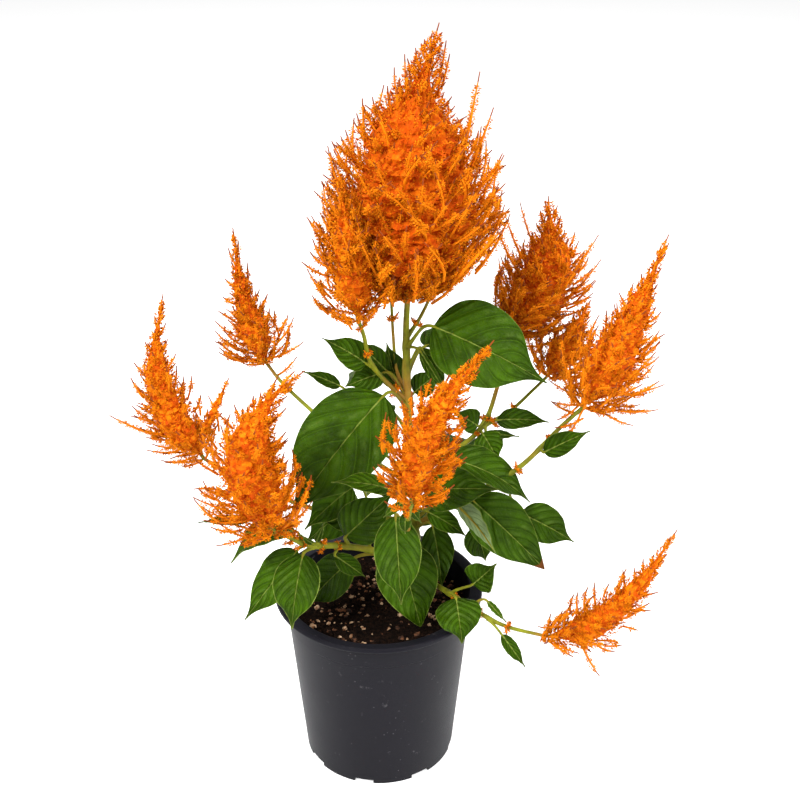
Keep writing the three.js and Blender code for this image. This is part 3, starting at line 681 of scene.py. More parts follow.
def leaf_skin(name, colours, tone, under=False, burnt=False, margin=0.6):
    """One side of a leaf: side veins arch from midrib to margin, with a fine net between them. The
    side-vein channels carry painted shade and the crests of the upper side a painted sheen.
    """
    n = Nodes(name)
    along, off_rib, off_edge = n.stored("along"), n.stored("off_rib"), n.stored("off_edge")
    cloud = n.noise(70, 3)
    net = n.cells(560, "DISTANCE_TO_EDGE")
    turn = n.stored("vein_turn") + cloud * 0.12
    side = abs(turn.math("FRACT") - 0.5) * 2
    vein = n.ramp(side, 0.88, 0.97) * n.ramp(off_edge, 0.6, 3.0)
    rib = n.ramp(off_rib + along * 0.35, 0.62, 0.28)
    rim = n.ramp(off_edge + cloud * 0.4, 0.8, 0.25)
    green = (0.13 * tone, 0.18 * tone, 0.075 * tone) if under else scaled(colours.leaf, tone)
    base = n.mix(n.ramp(cloud, 0.3, 0.7), scaled(green, 0.6), scaled(green, 1.45))
    # Painted shade: darker green along the side-vein channels.
    base = n.mix(n.ramp(side, 0.55, 0.92) * 0.5, base, scaled(green, 0.4))
    if not under:
        # Painted sheen: a pale green highlight painted in patches on the crests between the side
        # veins, kept off the margin.
        painted_sheen = n.ramp(n.noise(120, 2), 0.45, 0.7) * n.ramp(side, 0.7, 0.1)
        painted_sheen = painted_sheen * n.ramp(off_edge, 0.8, 4.0)
        base = n.mix(painted_sheen * 0.35, base, (0.088, 0.145, 0.022))
    base = n.mix(n.ramp(net, 0.10, 0.0) * 0.16, base, scaled(green, 1.7))
    base = n.mix(vein * (0.16 if under else 0.36), base, scaled(green, 2.4))
    base = n.mix((rib + rim * margin).math("MINIMUM", 1) * 0.85, base, tuple(colours.leaf_vein))
    if burnt:
        dry = n.ramp(off_edge + cloud * 3 - n.ramp(along, 0.86, 1.0) * 7, 1.1, 0.2)
        base = n.mix(dry * n.ramp(along, 0.45, 0.7), base, (0.16, 0.05, 0.012))
    if under:
        relief = vein * 0.8 + rib * 0.6
    else:
        bulge = n.ramp(side, 1.0, 0.3)
        relief = bulge * 1.2 + net.math("MINIMUM", 0.25) * 0.9 + vein * 0.15 - rib * 0.2
    return n.surface(
        (0.16, (0.07, 0.16, 0.002, 1)), Base_Color=base,
        Roughness=(0.60 if under else 0.30) + cloud * 0.12, Specular_IOR_Level=0.05,
        Normal=n.bump(relief, 0.0011))


def floret_skin(colours):
    """Florets from deep red inside a plume to light orange outside, with brown tips. The deep red
    inside is painted shade and the lightest florets carry a painted highlight.
    """
    n = Nodes("floret_skin")
    tone_and_painted_light, tip = n.stored("tone_and_painted_light"), n.stored("tip")
    speckle = n.noise(900, 2)
    shade = (tone_and_painted_light + (speckle - 0.5) * 0.35).math("MINIMUM", 1).math("MAXIMUM", 0)
    # Painted shade: low values take the darker, redder colour of florets shaded deep inside a
    # plume; high values take the full floret colour.
    base = n.mix(n.ramp(shade, 0.0, 0.6), tuple(colours.floret_shaded), tuple(colours.floret))
    # Painted highlight: the lightest florets are mixed towards a bright orange.
    base = n.mix(n.ramp(shade, 0.66, 1.0) * 0.6, base, (0.92, 0.33, 0.012))
    base = n.mix(tip * 0.9, base, (0.11, 0.022, 0.010))
    return n.surface(
        (0.2, (0.88, 0.25, 0.004, 1)), Base_Color=base, Roughness=0.62, Specular_IOR_Level=0.04)


# ---- pot and potting mix ----

def pot_wall(sizes, height):
    """The outer radius of the pot's wall at a height."""
    top = 58.5 * MM
    return sizes.foot_radius + (top - sizes.foot_radius) * height / sizes.pot_height


class CELOSIA_OT_pot(bpy.types.Operator):
    """Spin the pot's wall, lip and floor from one outline and cut its drains"""

    bl_idname = "celosia.pot"
    bl_label = "Pot"

    def execute(self, context):
        sizes = context.scene.celosia_sizes
        lift, floor, lip, band = 3 * MM, 2 * MM, 3.2 * MM, 16 * MM
        lip_bottom = sizes.pot_height - lip
        band_bottom = lip_bottom - band
        foot_inner = sizes.foot_radius - 5 * MM
        step = 0.7 * MM
        rim = sizes.rim_radius
        top = sizes.pot_height

        def inner(height):
            return pot_wall(sizes, height) - sizes.wall

        outline = [
            (0, 0), (14 * MM, 0), (15.5 * MM, lift), (foot_inner - 1.5 * MM, lift), (foot_inner, 0),
            (sizes.foot_radius - 0.8 * MM, 0), (sizes.foot_radius, 0.8 * MM),
            (pot_wall(sizes, band_bottom), band_bottom),
            (pot_wall(sizes, band_bottom) + step, band_bottom + 0.8 * MM),
            (pot_wall(sizes, lip_bottom) + step - 0.2 * MM, lip_bottom - 0.6 * MM),
            (pot_wall(sizes, lip_bottom) + 1.8 * MM, lip_bottom - 0.1 * MM),
            (rim - 1.0 * MM, lip_bottom), (rim - 0.1 * MM, lip_bottom + 0.9 * MM),
            (rim, top - 1.6 * MM),
            (rim - 0.5 * MM, top - 0.5 * MM), (rim - 1.6 * MM, top),
            (inner(lip_bottom) + 2.2 * MM, top - 0.3 * MM),
            (inner(lip_bottom) + 0.6 * MM, top - 1.2 * MM),
            (inner(lip_bottom), lip_bottom - 1.0 * MM),
            (inner(floor + lift), floor + lift), (0, floor + lift),
        ]
        deselect()
        bpy.ops.mesh.primitive_circle_add(vertices=len(outline), radius=1)
        pot = named("pot_shell")
        place(pot, [(radius, 0, height) for radius, height in outline])
        bpy.ops.object.mode_set(mode="EDIT")
        bpy.ops.mesh.select_all(action="DESELECT")
        bpy.ops.object.mode_set(mode="OBJECT")
        for edge in pot.data.edges:
            edge.select = set(edge.vertices) == {0, len(outline) - 1}
        bpy.ops.object.mode_set(mode="EDIT")
        bpy.ops.mesh.delete(type="EDGE")
        bpy.ops.mesh.select_all(action="SELECT")
        bpy.ops.mesh.spin(steps=120, angle=2 * math.pi, center=(0, 0, 0), axis=(0, 0, 1))
        bpy.ops.mesh.select_all(action="SELECT")
        bpy.ops.mesh.remove_doubles(threshold=TOUCHING)
        bpy.ops.mesh.normals_make_consistent(inside=False)
        bpy.ops.object.mode_set(mode="OBJECT")
        cutters = []
        for i in range(DRAINS):
            turn = (i + 0.72) * 2 * math.pi / DRAINS
            for kind, inward in (("notch", 2 * MM), ("drain", 17 * MM)):
                deselect()
                reach = sizes.foot_radius - inward
                spot = (math.sin(turn) * reach, -math.cos(turn) * reach, 0)
                if kind == "notch":
                    bpy.ops.mesh.primitive_cube_add(size=1, location=spot, rotation=(0, 0, turn))
                    bpy.ops.transform.resize(value=(12 * MM, 15 * MM, 6.8 * MM))
                else:
                    bpy.ops.mesh.primitive_cylinder_add(
                        vertices=24, radius=3.2 * MM, depth=16 * MM, location=spot)
                cutters.append(named(kind))
        cutter = join(*cutters)
        select(cutter)
        bpy.ops.object.transform_apply(location=True, rotation=True, scale=True)
        apply(pot, "BOOLEAN", operation="DIFFERENCE", solver="EXACT", object=cutter)
        bpy.data.objects.remove(cutter)
        smooth(pot, 28)
        finish(pot, "pot", "pot_plastic", pot_plastic(context.scene.celosia_colours))
        return {"FINISHED"}


def soil_height(x, y):
    """Height of the lumps on the potting mix over its level, in metres."""
    broad = Vector((x * 38, y * 38, 0.7))
    fine = Vector((x * 190, y * 190, 3.1))
    return (1.6 * MM * noise.noise(broad) + 0.9 * MM * noise.noise(fine)
            + 0.5 * MM * noise.noise(fine * 2.7))


def sunk_at(share):
    """How far the potting mix has sunk at a share of the way out to the pot's wall, in metres."""
    return 1.5 * MM * np.clip((share - 0.85) / 0.15, 0, 1) ** 2


class CELOSIA_OT_potting_mix(bpy.types.Operator):
    """Fill the pot with potting mix"""

    bl_idname = "celosia.potting_mix"
    bl_label = "Potting mix"

    def execute(self, context):
        sizes = context.scene.celosia_sizes
        mix, across, along = grid("potting_mix_body", 150, 76)
        bottom = 5.35 * MM
        gap = 0.35 * MM
        top_radius = pot_wall(sizes, sizes.soil_level) - sizes.wall - gap
        foot_radius = pot_wall(sizes, bottom) - sizes.wall - gap
        turn = math.pi * (across + 1)
        rim, foot = 0.9, 0.97  # the grid's rows make the top up to rim, the side and then the base
        over = np.clip(along / rim, 0, 1)
        radius = np.where(along < rim, top_radius * over, np.where(along < foot, foot_radius, 0))
        x, y = radius * np.cos(turn), radius * np.sin(turn)
        lumps = np.array([soil_height(a, b) for a, b in zip(x, y)])
        z = np.where(along < rim, sizes.soil_level + lumps - sunk_at(over), bottom)
        place(mix, np.stack([x, -y, z], axis=1))
        weld(mix)
        smooth(mix, 60)
        finish(mix, "potting_mix", "potting_mix", potting_mix("potting_mix_dark"))
        return {"FINISHED"}


def pebble(name, detail, roughness, seed):
    """One rough grain about 1 across, as places and faces to copy."""
    deselect()
    bpy.ops.mesh.primitive_ico_sphere_add(subdivisions=detail, radius=0.5)
    grain = named(name)
    places = points_of(grain)
    for i, spot in enumerate(places):
        places[i] = spot * (1 + roughness * noise.noise(Vector(spot * 3.1) + Vector((seed, 0, 0))))
    faces = np.array([tuple(face.vertices) for face in grain.data.polygons])
    bpy.data.objects.remove(grain)
    return places, faces


def mesh_piece(name, places, faces):
    """A new piece from its places and triangles."""
    mesh = bpy.data.meshes.new(name)
    mesh.vertices.add(len(places))
    mesh.vertices.foreach_set("co", np.asarray(places, np.float32).ravel())
    mesh.loops.add(faces.size)
    mesh.loops.foreach_set("vertex_index", faces.astype(np.int32).ravel())
    mesh.polygons.add(len(faces))
    mesh.polygons.foreach_set("loop_start", np.arange(0, faces.size, 3, dtype=np.int32))
    mesh.update(calc_edges=True)
    piece = bpy.data.objects.new(name, mesh)
    bpy.context.collection.objects.link(piece)
    return piece


def scatter_grains(name, shape, count, low, high, flat, seed, sizes, sunk):
    """Grains lying in the potting mix, each turned and sized at random, as one piece."""
    rng = np.random.default_rng(seed)
    places, faces = shape
    wall = pot_wall(sizes, sizes.soil_level) - sizes.wall
    all_places, all_faces = [], []
    for i in range(count):
        size = low + (high - low) * rng.random() ** 2
        reach = (wall - 0.6 * size - 0.5 * MM) * math.sqrt(rng.random())
        turn = 2 * math.pi * rng.random()
        x, y = reach * math.cos(turn), reach * math.sin(turn)
        axes = np.linalg.qr(rng.normal(size=(3, 3)))[0]
        axes *= np.sign(np.linalg.det(axes))
        stretch = size * (0.75 + 0.5 * rng.random(3))
        grain = (places * stretch) @ axes
        grain[:, 2] *= flat
        level = sizes.soil_level + soil_height(x, y) - sunk_at(reach / wall) + sunk * size
        all_faces.append(faces + i * len(places))
        all_places.append(grain + (x, y, level))
    return mesh_piece(name, np.vstack(all_places), np.vstack(all_faces))


class CELOSIA_OT_grains(bpy.types.Operator):
    """Lay perlite, bark and crumbs of peat in the potting mix"""

    bl_idname = "celosia.grains"
    bl_label = "Perlite and bark"

    def execute(self, context):
        sizes = context.scene.celosia_sizes
        rough = pebble("grain", 2, 0.75, 4.0)
        plain = pebble("crumb", 1, 0.8, 9.0)
        kinds = [
            ("perlite", rough, sizes.crumbs, 0.8, 3.7, 0.8, 51, 0.12,
             mineral("perlite_cream", (0.50, 0.33, 0.20), (0.13, 0.05, 0.018), 330)),
            ("bark_chips", rough, 150, 1.4, 4.6, 0.5, 53, 0.12,
             mineral("bark_brown", (0.13, 0.05, 0.02), (0.012, 0.006, 0.004), 300)),
            ("peat_crumbs", plain, 1500, 0.9, 2.6, 0.8, 57, 0.15, potting_mix("peat_crumb", 1.6)),
        ]
        for name, shape, count, low, high, flat, seed, sunk, material in kinds:
            grains = scatter_grains(
                name, shape, count, low * MM, high * MM, flat, seed, sizes, sunk)
            smooth(grains, 50)
            finish(grains, None, "potting_mix", material)
        return {"FINISHED"}


# ---- stems and leaves ----

class CELOSIA_OT_stems(bpy.types.Operator):
    """Grow the ribbed stem and its branches, thicker where leaves and branches leave them"""

    bl_idname = "celosia.stems"
    bl_label = "Stems"

    def execute(self, context):
        branches = []
        for name, track in STEM_TRACKS.items():
            share = np.linspace(0, 1, max(14, round(track.length / (2.5 * MM))))
            radius = SLIMMING * stem_radius(name, share)
            for _, stem, at, *_ in LEAVES:
                if stem == name:
                    swelling = np.exp(-((share - at) * track.length / (3 * MM)) ** 2)
                    radius = radius * (1 + 0.22 * swelling)
            if name != "main":
                radius = radius * (1 + 0.45 * np.exp(-(share * track.length / (6 * MM)) ** 2))
            sides = 20 if name == "main" else 12
            ribs = 1 + 0.055 * np.cos(np.arange(sides) * 2 * math.pi / sides * RIBS)
            branches.append(tube(name, track.at(share), radius[:, None] * ribs, sides))
        for node, suffix, points, girth, *_ in LOBES:
            share = np.linspace(0, 0.6, 12)
            radius = (1.25 - 1.2 * share)[:, None] * MM * (1.3 if girth > 40 else 1)
            branches.append(tube(f"{node}{suffix}_rachis", Track(points).at(share), radius, 8))
        stems = join(*branches)
        stems.name = stems.data.name = "stems_ribbed"
        smooth(stems, 60)
        skin = stem_skin("stem_green", context.scene.celosia_colours.stem, 0.55)
        finish(stems, "stems", "stem_flesh", skin)
        return {"FINISHED"}


def blade_share(t, drip):
    """Half of a blade's width at a share of its length: round at the neck, then pinched by drip
    into a long tip."""
    pinch = np.clip((t - 0.6) / 0.35, 0, 1)
    oval = np.sin(np.pi * t ** 0.7) ** 0.75 * (1 - 0.3 * t * t)
    return oval * (1 - drip * pinch * pinch * (3 - 2 * pinch))


def leaf_blade(name, bow, up, width, fold, grown):
    """A leaf's quilted upper side along its bow, with what its finish reads stored on it."""
    blade, across, along = grid(f"leaf_{name}_blade", 26 if grown else 18, 50 if grown else 32)
    along = along ** 1.15
    u = across * (0.4 + 0.6 * np.abs(across))
    off = np.abs(u)
    phase = width / MM
    ahead = np.minimum(along + 0.01, 1)
    heading = unit(bezier(bow, ahead) - bezier(bow, ahead - 0.02))
    side = unit(np.cross(heading, up))
    normal = unit(np.cross(side, heading))
    body = np.sin(np.pi * np.clip(along, 0, 1) ** 0.7).clip(0, 1)
    share = blade_share(np.clip(along, 1e-6, 1 - 1e-6), DRIP.get(name, PINCH))
    half = np.maximum(0.35 * MM, 0.53 * width * share)
    lean = math.radians(fold) * np.minimum(1, 8 * along)
    turn = (along - 0.36 * off ** 1.2 + 0.035 * (u > 0)) * (7 if grown else 6)
    quilt = (0.075 * width * np.abs(np.sin(np.pi * (turn + 0.5))) ** 0.8
             * off ** 0.5 * (1 - off) ** 0.6)
    droop = -0.05 * width * u * u * np.sin(4 * along + phase) * body
    wave = WAVES[name] * MM if name in WAVES else 0.042 * width
    ripple = wave * off * np.sin(9 * along + 2 * u + phase) * np.sin(np.pi * along)
    frill = 0.35 * MM * off ** 4 * np.sin(31 * along + 5 * u + phase) * body
    groove = -0.3 * MM * np.exp(-(u * half / (0.9 * MM)) ** 2) * body
    tilt = off * half * np.sin(lean)
    lift = tilt + ripple + quilt * body + droop + frill + groove + 0.25 * MM
    spread_out = u * half * np.cos(lean)
    place(blade, bezier(bow, along) + side * spread_out[:, None] + normal * lift[:, None])
    mark(blade, "along", along)
    mark(blade, "off_rib", off * half / MM)
    mark(blade, "off_edge", (1 - off) * half / MM + 3 * np.clip(0.04 - along, 0, 1) * 25)
    mark(blade, "vein_turn", turn)
    return blade


def leaf_stalk(name, stem, at, bow, up, base_radius):
    """A leaf's petiole, from inside its stem, and the midrib under the blade's bow."""
    neck, crown, tip = bow
    root = STEM_TRACKS[stem].at(at)
    stem_heading = STEM_TRACKS[stem].heading(at)
    leave = neck - root
    leave = unit(leave - stem_heading * np.dot(leave, stem_heading))
    start = root + leave * stem_radius(stem, at) * 0.4
    reach = np.linalg.norm(neck - start)
    first = unit(crown - neck)
    rise = start + (neck - start) * 0.4 + np.array((0, 0, 0.12 * reach))
    rows = max(8, round(reach / (2.2 * MM)))
    stalk = bezier((start, rise, neck - first * 0.3 * reach, neck), np.linspace(0, 1, rows))
    share = np.linspace(0, 0.94, 26)
    forward = unit(tip - neck)
    rib_up = unit(np.cross(np.cross(forward, up), forward))
    rib_radius = base_radius * (0.85 - 0.66 * share)
    below = (rib_radius + 0.3 * MM) * np.minimum(1, share * 10)
    rib = bezier(bow, share) - rib_up * below[:, None]
    radius = base_radius * (1 + 0.5 * np.exp(-np.linspace(0, reach, rows) / (2.5 * MM)))
    radius = np.concatenate([radius * np.linspace(1, 0.85, rows), rib_radius[1:]])
    return tube(f"leaf_{name}_stalk", np.vstack([stalk, rib[1:]]), radius[:, None], 10)


def leaf_piece(row, sizes, skins):
    """One leaf: its blade with the midrib below, on a petiole that leaves its stem."""
    name, stem, at, neck, tip, width, face, arch, fold, *kind = row
    neck, tip = np.array(neck) * MM, np.array(tip) * MM
    forward = unit(tip - neck)
    up = unit(np.cross(np.cross(forward, face), forward))
    bow = (neck, (neck + tip) / 2 + up * 2 * arch * MM, tip)
    grown = width > GROWN
    blade = leaf_blade(name, bow, up, width * MM, fold, grown)
    blade.data.materials.append(skins[kind[0] if kind else "deep"])
    blade.data.materials.append(skins["under"])
    apply(blade, "SOLIDIFY", thickness=sizes.blade, offset=-1,
          material_offset=1, material_offset_rim=0)
    smooth(blade, 40)
    stalk = leaf_stalk(name, stem, at, bow, up, sizes.petiole * (1.2 if grown else 0.9))
    stalk.data.materials.append(skins["petiole"])
    smooth(stalk)
    return join(blade, stalk)


class CELOSIA_OT_leaves(bpy.types.Operator):
    """Hang every leaf on its stem"""

    bl_idname = "celosia.leaves"
    bl_label = "Leaves"

    def execute(self, context):
        sizes = context.scene.celosia_sizes
        colours = context.scene.celosia_colours
        skins = {
            "deep": leaf_skin("leaf_deep", colours, 1.0, margin=0.45),
            "edged": leaf_skin("leaf_edged", colours, 1.1, margin=1.0),
            "fresh": leaf_skin("leaf_fresh", colours, 1.35, margin=0.7),
            "burnt": leaf_skin("leaf_burnt", colours, 0.95, burnt=True, margin=0.5),
            "under": leaf_skin("leaf_under", colours, 1.0, under=True, margin=0.3),
            "petiole": stem_skin("petiole_green", colours.stem, 0.25),
        }
        for row in LEAVES:
            leaf = leaf_piece(row, sizes, skins)
            finish(leaf, f"leaf_{row[0]}", "leaf_blade")
        bracts = join(*[leaf_piece((f"bract_{name}", *row), sizes, skins)
                        for name, *row in BRACTS])
        bracts.name = bracts.data.name = "bracts"
        finish(bracts, None, "leaf_blade")
        return {"FINISHED"}


# ---- plumes ----

def lobe_radius(girth, full, share):
    """A lobe's half width at a share of its height, in metres."""
    below = 1 - 0.7 * ((WIDEST - np.minimum(share, WIDEST)) / WIDEST) ** 2
    above = 1 - ((np.maximum(share, WIDEST) - WIDEST) / (1 - WIDEST)) ** full
    leader = np.clip((share - LEADER_FROM) / LEADER_OVER, 0, 1)
    above = above * (1.08 - 0.4 * leader * leader * (3 - 2 * leader))
    return girth * MM * np.where(share < WIDEST, below, above)


def floret_form():
    """One floret, a slim kite with its foot at the origin: its places, by width, thickness and
    length, and its faces."""
    deselect()
    bpy.ops.mesh.primitive_cone_add(
        vertices=3, radius1=0.5, radius2=0, depth=1, location=(0, 0, 0.5))
    bpy.ops.object.transform_apply(location=True)
    cone = named("floret")
    places = points_of(cone)
    top = int(np.argmax(places[:, 2]))
    foot, left, right = [i for i in range(4) if i != top]
    places[top] = (0, 0.10, 1)
    places[foot] = (0, 0, 0)
    places[left] = (-0.5, -0.12, 0.42)
    places[right] = (0.5, -0.12, 0.42)
    place(cone, places)
    weld(cone, outward=True)
    faces = np.array([tuple(face.vertices) for face in cone.data.polygons])
    bpy.data.objects.remove(cone)
    return places, faces


def leaf_screen():
    """The leaves' solids, to keep spikes out of them."""
    places, faces = [], []
    for name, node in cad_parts.items():
        if name.startswith("leaf_"):
            start = len(places)
            places += [tuple(vertex.co) for vertex in node.data.vertices]
            faces += [tuple(start + i for i in face.vertices) for face in node.data.polygons]
    return BVHTree.FromPolygons(places, faces)


def lobe_spikes(name, track, girth, full, count, seed, screen):
    """The spikes of a lobe as rows of three corners: foot, bend and tip. No regular one crosses
    a leaf."""
    rng = np.random.default_rng(seed)
    shares = np.linspace(0.04, 0.985, 200)
    room = np.cumsum(lobe_radius(girth, full, shares) + 0.12 * girth * MM)
    short, side, low = SKIRT.get(name, (0, 1, 1))
    spikes = [(track.at(0.8), track.at(0.9), track.at(1.0))]
    for foot, tip in STRAYS.get(name, []):
        foot, tip = np.array(foot) * MM, np.array(tip) * MM
        spikes.append((foot, (foot + tip) / 2 - (0, 0, 0.16 * np.linalg.norm(tip - foot)), tip))
    for i in range(count):
        high = float(np.interp((i + 0.5) / count * room[-1], room, shares))
        turn = i * GOLDEN_ANGLE + 0.8 * (rng.random() - 0.5)
        long = 0.65 + 0.7 * rng.random()
        reach = 0.42 * math.sqrt(1 - high) + 0.5 * math.exp(-high / 0.15)
        length = (6 + girth * reach) * MM * long
        steep = math.radians(29 + 48 * math.exp(-high / 0.19) + 38 * (rng.random() - 0.5))
        heading = track.heading(high)
        outward = spread(heading, turn)
        swing = np.cross(heading, outward) * 0.7 * (rng.random() - 0.5)
        high += 0.12 * short * max(0.0, side * float(outward[0])) * math.exp(-high / low)
        deep = 1.04 - 0.45 * rng.random() ** 2.2
        outer = lobe_radius(girth, full, high) * deep + (1 + 9 * max(0, long - 1.1)) * MM
        outer *= 1 - short * (0.4 + max(0.0, side * float(outward[0]))) * math.exp(-high / low)
        inner = max(0.12 * outer, outer - length * math.sin(steep))
        foot = track.at(max(0.0, high - length * math.cos(steep) / track.length)) + outward * inner
        tip = track.at(high) + (outward + swing) * outer
        rise = float(np.dot(tip - foot, heading))
        bend = foot + outward * 0.66 * (outer - inner) + heading * 0.4 * rise
        clear = float(np.linalg.norm(tip - foot)) + 2 * MM
        if screen.ray_cast(Vector(foot), Vector(tip - foot), clear)[0] is None:
            spikes.append((foot, bend, tip))
    return np.array(spikes)


def bare_from(spikes):
    """The share of each spike's length beyond which it is a bare thread."""
    return 1 - THREAD / np.maximum(8 * MM, np.linalg.norm(spikes[:, 2] - spikes[:, 1], axis=1))


def spike_florets(spikes, density, floret, rng):
    """Florets of the spikes: where each grows, which way, the way it lies flat, its length, its
    place out along the spike and its spike's number. They stand all round the spike and grow
    smaller to its tip."""
    span = np.linalg.norm(np.diff(spikes, axis=1), axis=2).sum(axis=1)
    lone = np.clip(span / (36 * MM) - 1, 0, 1)
    number = np.maximum(16, np.rint((0.79 + 0.7 * lone) * span / MM * density)).astype(int)
    owner = np.repeat(np.arange(len(spikes)), number)
    rank = np.arange(len(owner)) - np.repeat(np.cumsum(number) - number, number)
    chance = rng.random((len(owner), 6))
    stop = bare_from(spikes)[owner]
    out = ((rank + chance[:, 0]) / number[owner]) ** 0.9
    t = (FLORETS_FROM + (stop - FLORETS_FROM) * out)[:, None]
    foot, bend, tip = (spikes[owner, corner] for corner in range(3))
    heading = unit((1 - t) * (bend - foot) + t * (tip - bend))
    turn = (rank * GOLDEN_ANGLE + chance[:, 1] * 1.2)[:, None]
    radial = spread(heading, turn, (0.31, 0.87, 0.19))
    sideways = np.cross(heading, radial)
    reach = (0.17 * np.minimum(1, 24 * MM / span))[owner, None]
    taper = np.clip((stop[:, None] + 0.04 - t) / reach, 0, 1) ** 0.7
    brush = (0.7 * MM + 0.006 * span[owner])[:, None] * taper
    on_spike = (1 - t) ** 2 * foot + 2 * t * (1 - t) * bend + t ** 2 * tip
    spot = on_spike + radial * brush * (0.25 + 0.75 * chance[:, 2:3])
    lean = np.radians(46 + 30 * taper)
    grow = unit(heading * np.cos(lean) + radial * np.sin(lean)
                + sideways * 0.9 * (chance[:, 3:4] - 0.5))
    spin = math.pi * chance[:, 4:5]
    flat = sideways * np.cos(spin) + heading * np.sin(spin)
    length = floret * (0.5 + 0.5 * taper) * (0.6 + 0.8 * chance[:, 5:6])
    return spot, grow, flat, length, t[:, 0], owner


def filling_florets(track, girth, full, sizes, rng):
    """Florets that fill the room between a lobe's middle and its spikes, pointing out and up."""
    share = np.linspace(0.02, 0.97, 400)
    radius = lobe_radius(girth, full, share)
    area = 2 * math.pi * 0.55 * np.mean(radius) * track.length
    count = int(area / (sizes.fill * MM * MM))
    share = np.interp(rng.random(count) * np.sum(radius), np.cumsum(radius), share)
    turn = 2 * math.pi * rng.random((count, 1))
    chance = rng.random((count, 5))
    heading = track.heading(share)
    outward = spread(heading, turn)
    depth = core_share(girth) - 0.05 + 0.3 * chance[:, :1]
    spot = track.at(share) + outward * (depth * lobe_radius(girth, full, share)[:, None])
    sideways = np.cross(heading, outward)
    grow = unit(outward * (0.2 + chance[:, 1:2]) + heading * (0.2 + chance[:, 2:3])
                + sideways * 1.4 * (chance[:, 3:4] - 0.5))
    length = sizes.floret * (1.0 + 0.7 * chance[:, 4:5])
    spin = math.pi * rng.random((count, 1))
    return spot, grow, sideways * np.cos(spin) + heading * np.sin(spin), length


def floret_piece(name, florets, tone_and_painted_light, tip, form, rng):
    """One piece of many florets, given where each grows, which way, the way it lies flat and its
    length."""
    spot, grow, flat, length = florets
    shape, shape_faces = form
    thick = unit(np.cross(grow, flat))
    wide = np.cross(thick, grow)
    width = length * (0.38 + 0.14 * rng.random((len(spot), 1)))
    stretched = (wide[:, None, :] * (shape[None, :, :1] * width[:, None])
                 + thick[:, None, :] * (shape[None, :, 1:2] * width[:, None])
                 + grow[:, None, :] * (shape[None, :, 2:] * length[:, None]))
    faces = shape_faces[None] + (np.arange(len(spot)) * len(shape))[:, None, None]
    piece = mesh_piece(name, (spot[:, None, :] + stretched).reshape(-1, 3), faces.reshape(-1, 3))
    # A random tone is added to each floret's painted light, from painted shade at 0 to painted
    # highlight at 1.
    tone_and_painted_light = tone_and_painted_light + 0.5 * (rng.random(len(spot)) - 0.5)
    mark(piece, "tone_and_painted_light", np.repeat(np.clip(tone_and_painted_light, 0, 1), len(shape_faces)), "FACE")
    mark(piece, "tip", np.repeat(tip, len(shape_faces)), "FACE")
    return piece


def dress(name, spikes, track, lobe, sizes, form, seed):
    """All florets of a lobe, as one piece."""
    rng = np.random.default_rng(seed + 100)
    girth, full = lobe
    crowd = min(1.0, 40 / girth)
    *on_spikes, share, owner = spike_florets(
        spikes, sizes.florets_per_mm * crowd, sizes.floret / crowd ** 0.5, rng)
    filling = filling_florets(track, girth, full, sizes, rng)
    mood = rng.random(len(spikes))[owner]
    # Painted light on the florets: spike florets get lighter out along their spike, with each
    # spike's random tone; filling florets sit lower, in painted shade; both are darker in a
    # girthier lobe.
    tone_and_painted_light = np.concatenate([0.24 - 0.003 * girth + 0.45 * mood + 0.45 * share,
                           np.full(len(filling[0]), 0.54 - 0.0065 * girth)])
    tip = np.clip((share - 0.88) / 0.12, 0, 1) * (0.4 + 0.6 * rng.random(len(owner)))
    tip = np.concatenate([tip, np.zeros(len(filling[0]))])
    florets = [np.vstack(pair) for pair in zip(on_spikes, filling)]
    return floret_piece(name, florets, tone_and_painted_light, tip, form, rng)


def tuft_spikes(rng):
    """Short spikes that spread from the tufts' places on the stems."""
    spikes = []
    for stem, tufts in TUFTS.items():
        track = STEM_TRACKS[stem]
        for at, reach in tufts:
            foot, heading = track.at(at), track.heading(at)
            for k in range(TUFT_SPIKES):
                outward = spread(heading, k * GOLDEN_ANGLE + rng.random())
                lift = np.array((0, -0.2, 0.3))
                way = unit(outward + heading * (0.2 + 0.6 * rng.random()) + lift)
                length = reach * MM * (0.55 + 0.6 * rng.random())
                bend = foot + way * 0.55 * length - np.array((0, 0, 0.12 * length))
                spikes.append((foot, bend, foot + way * length))
    return np.array(spikes)


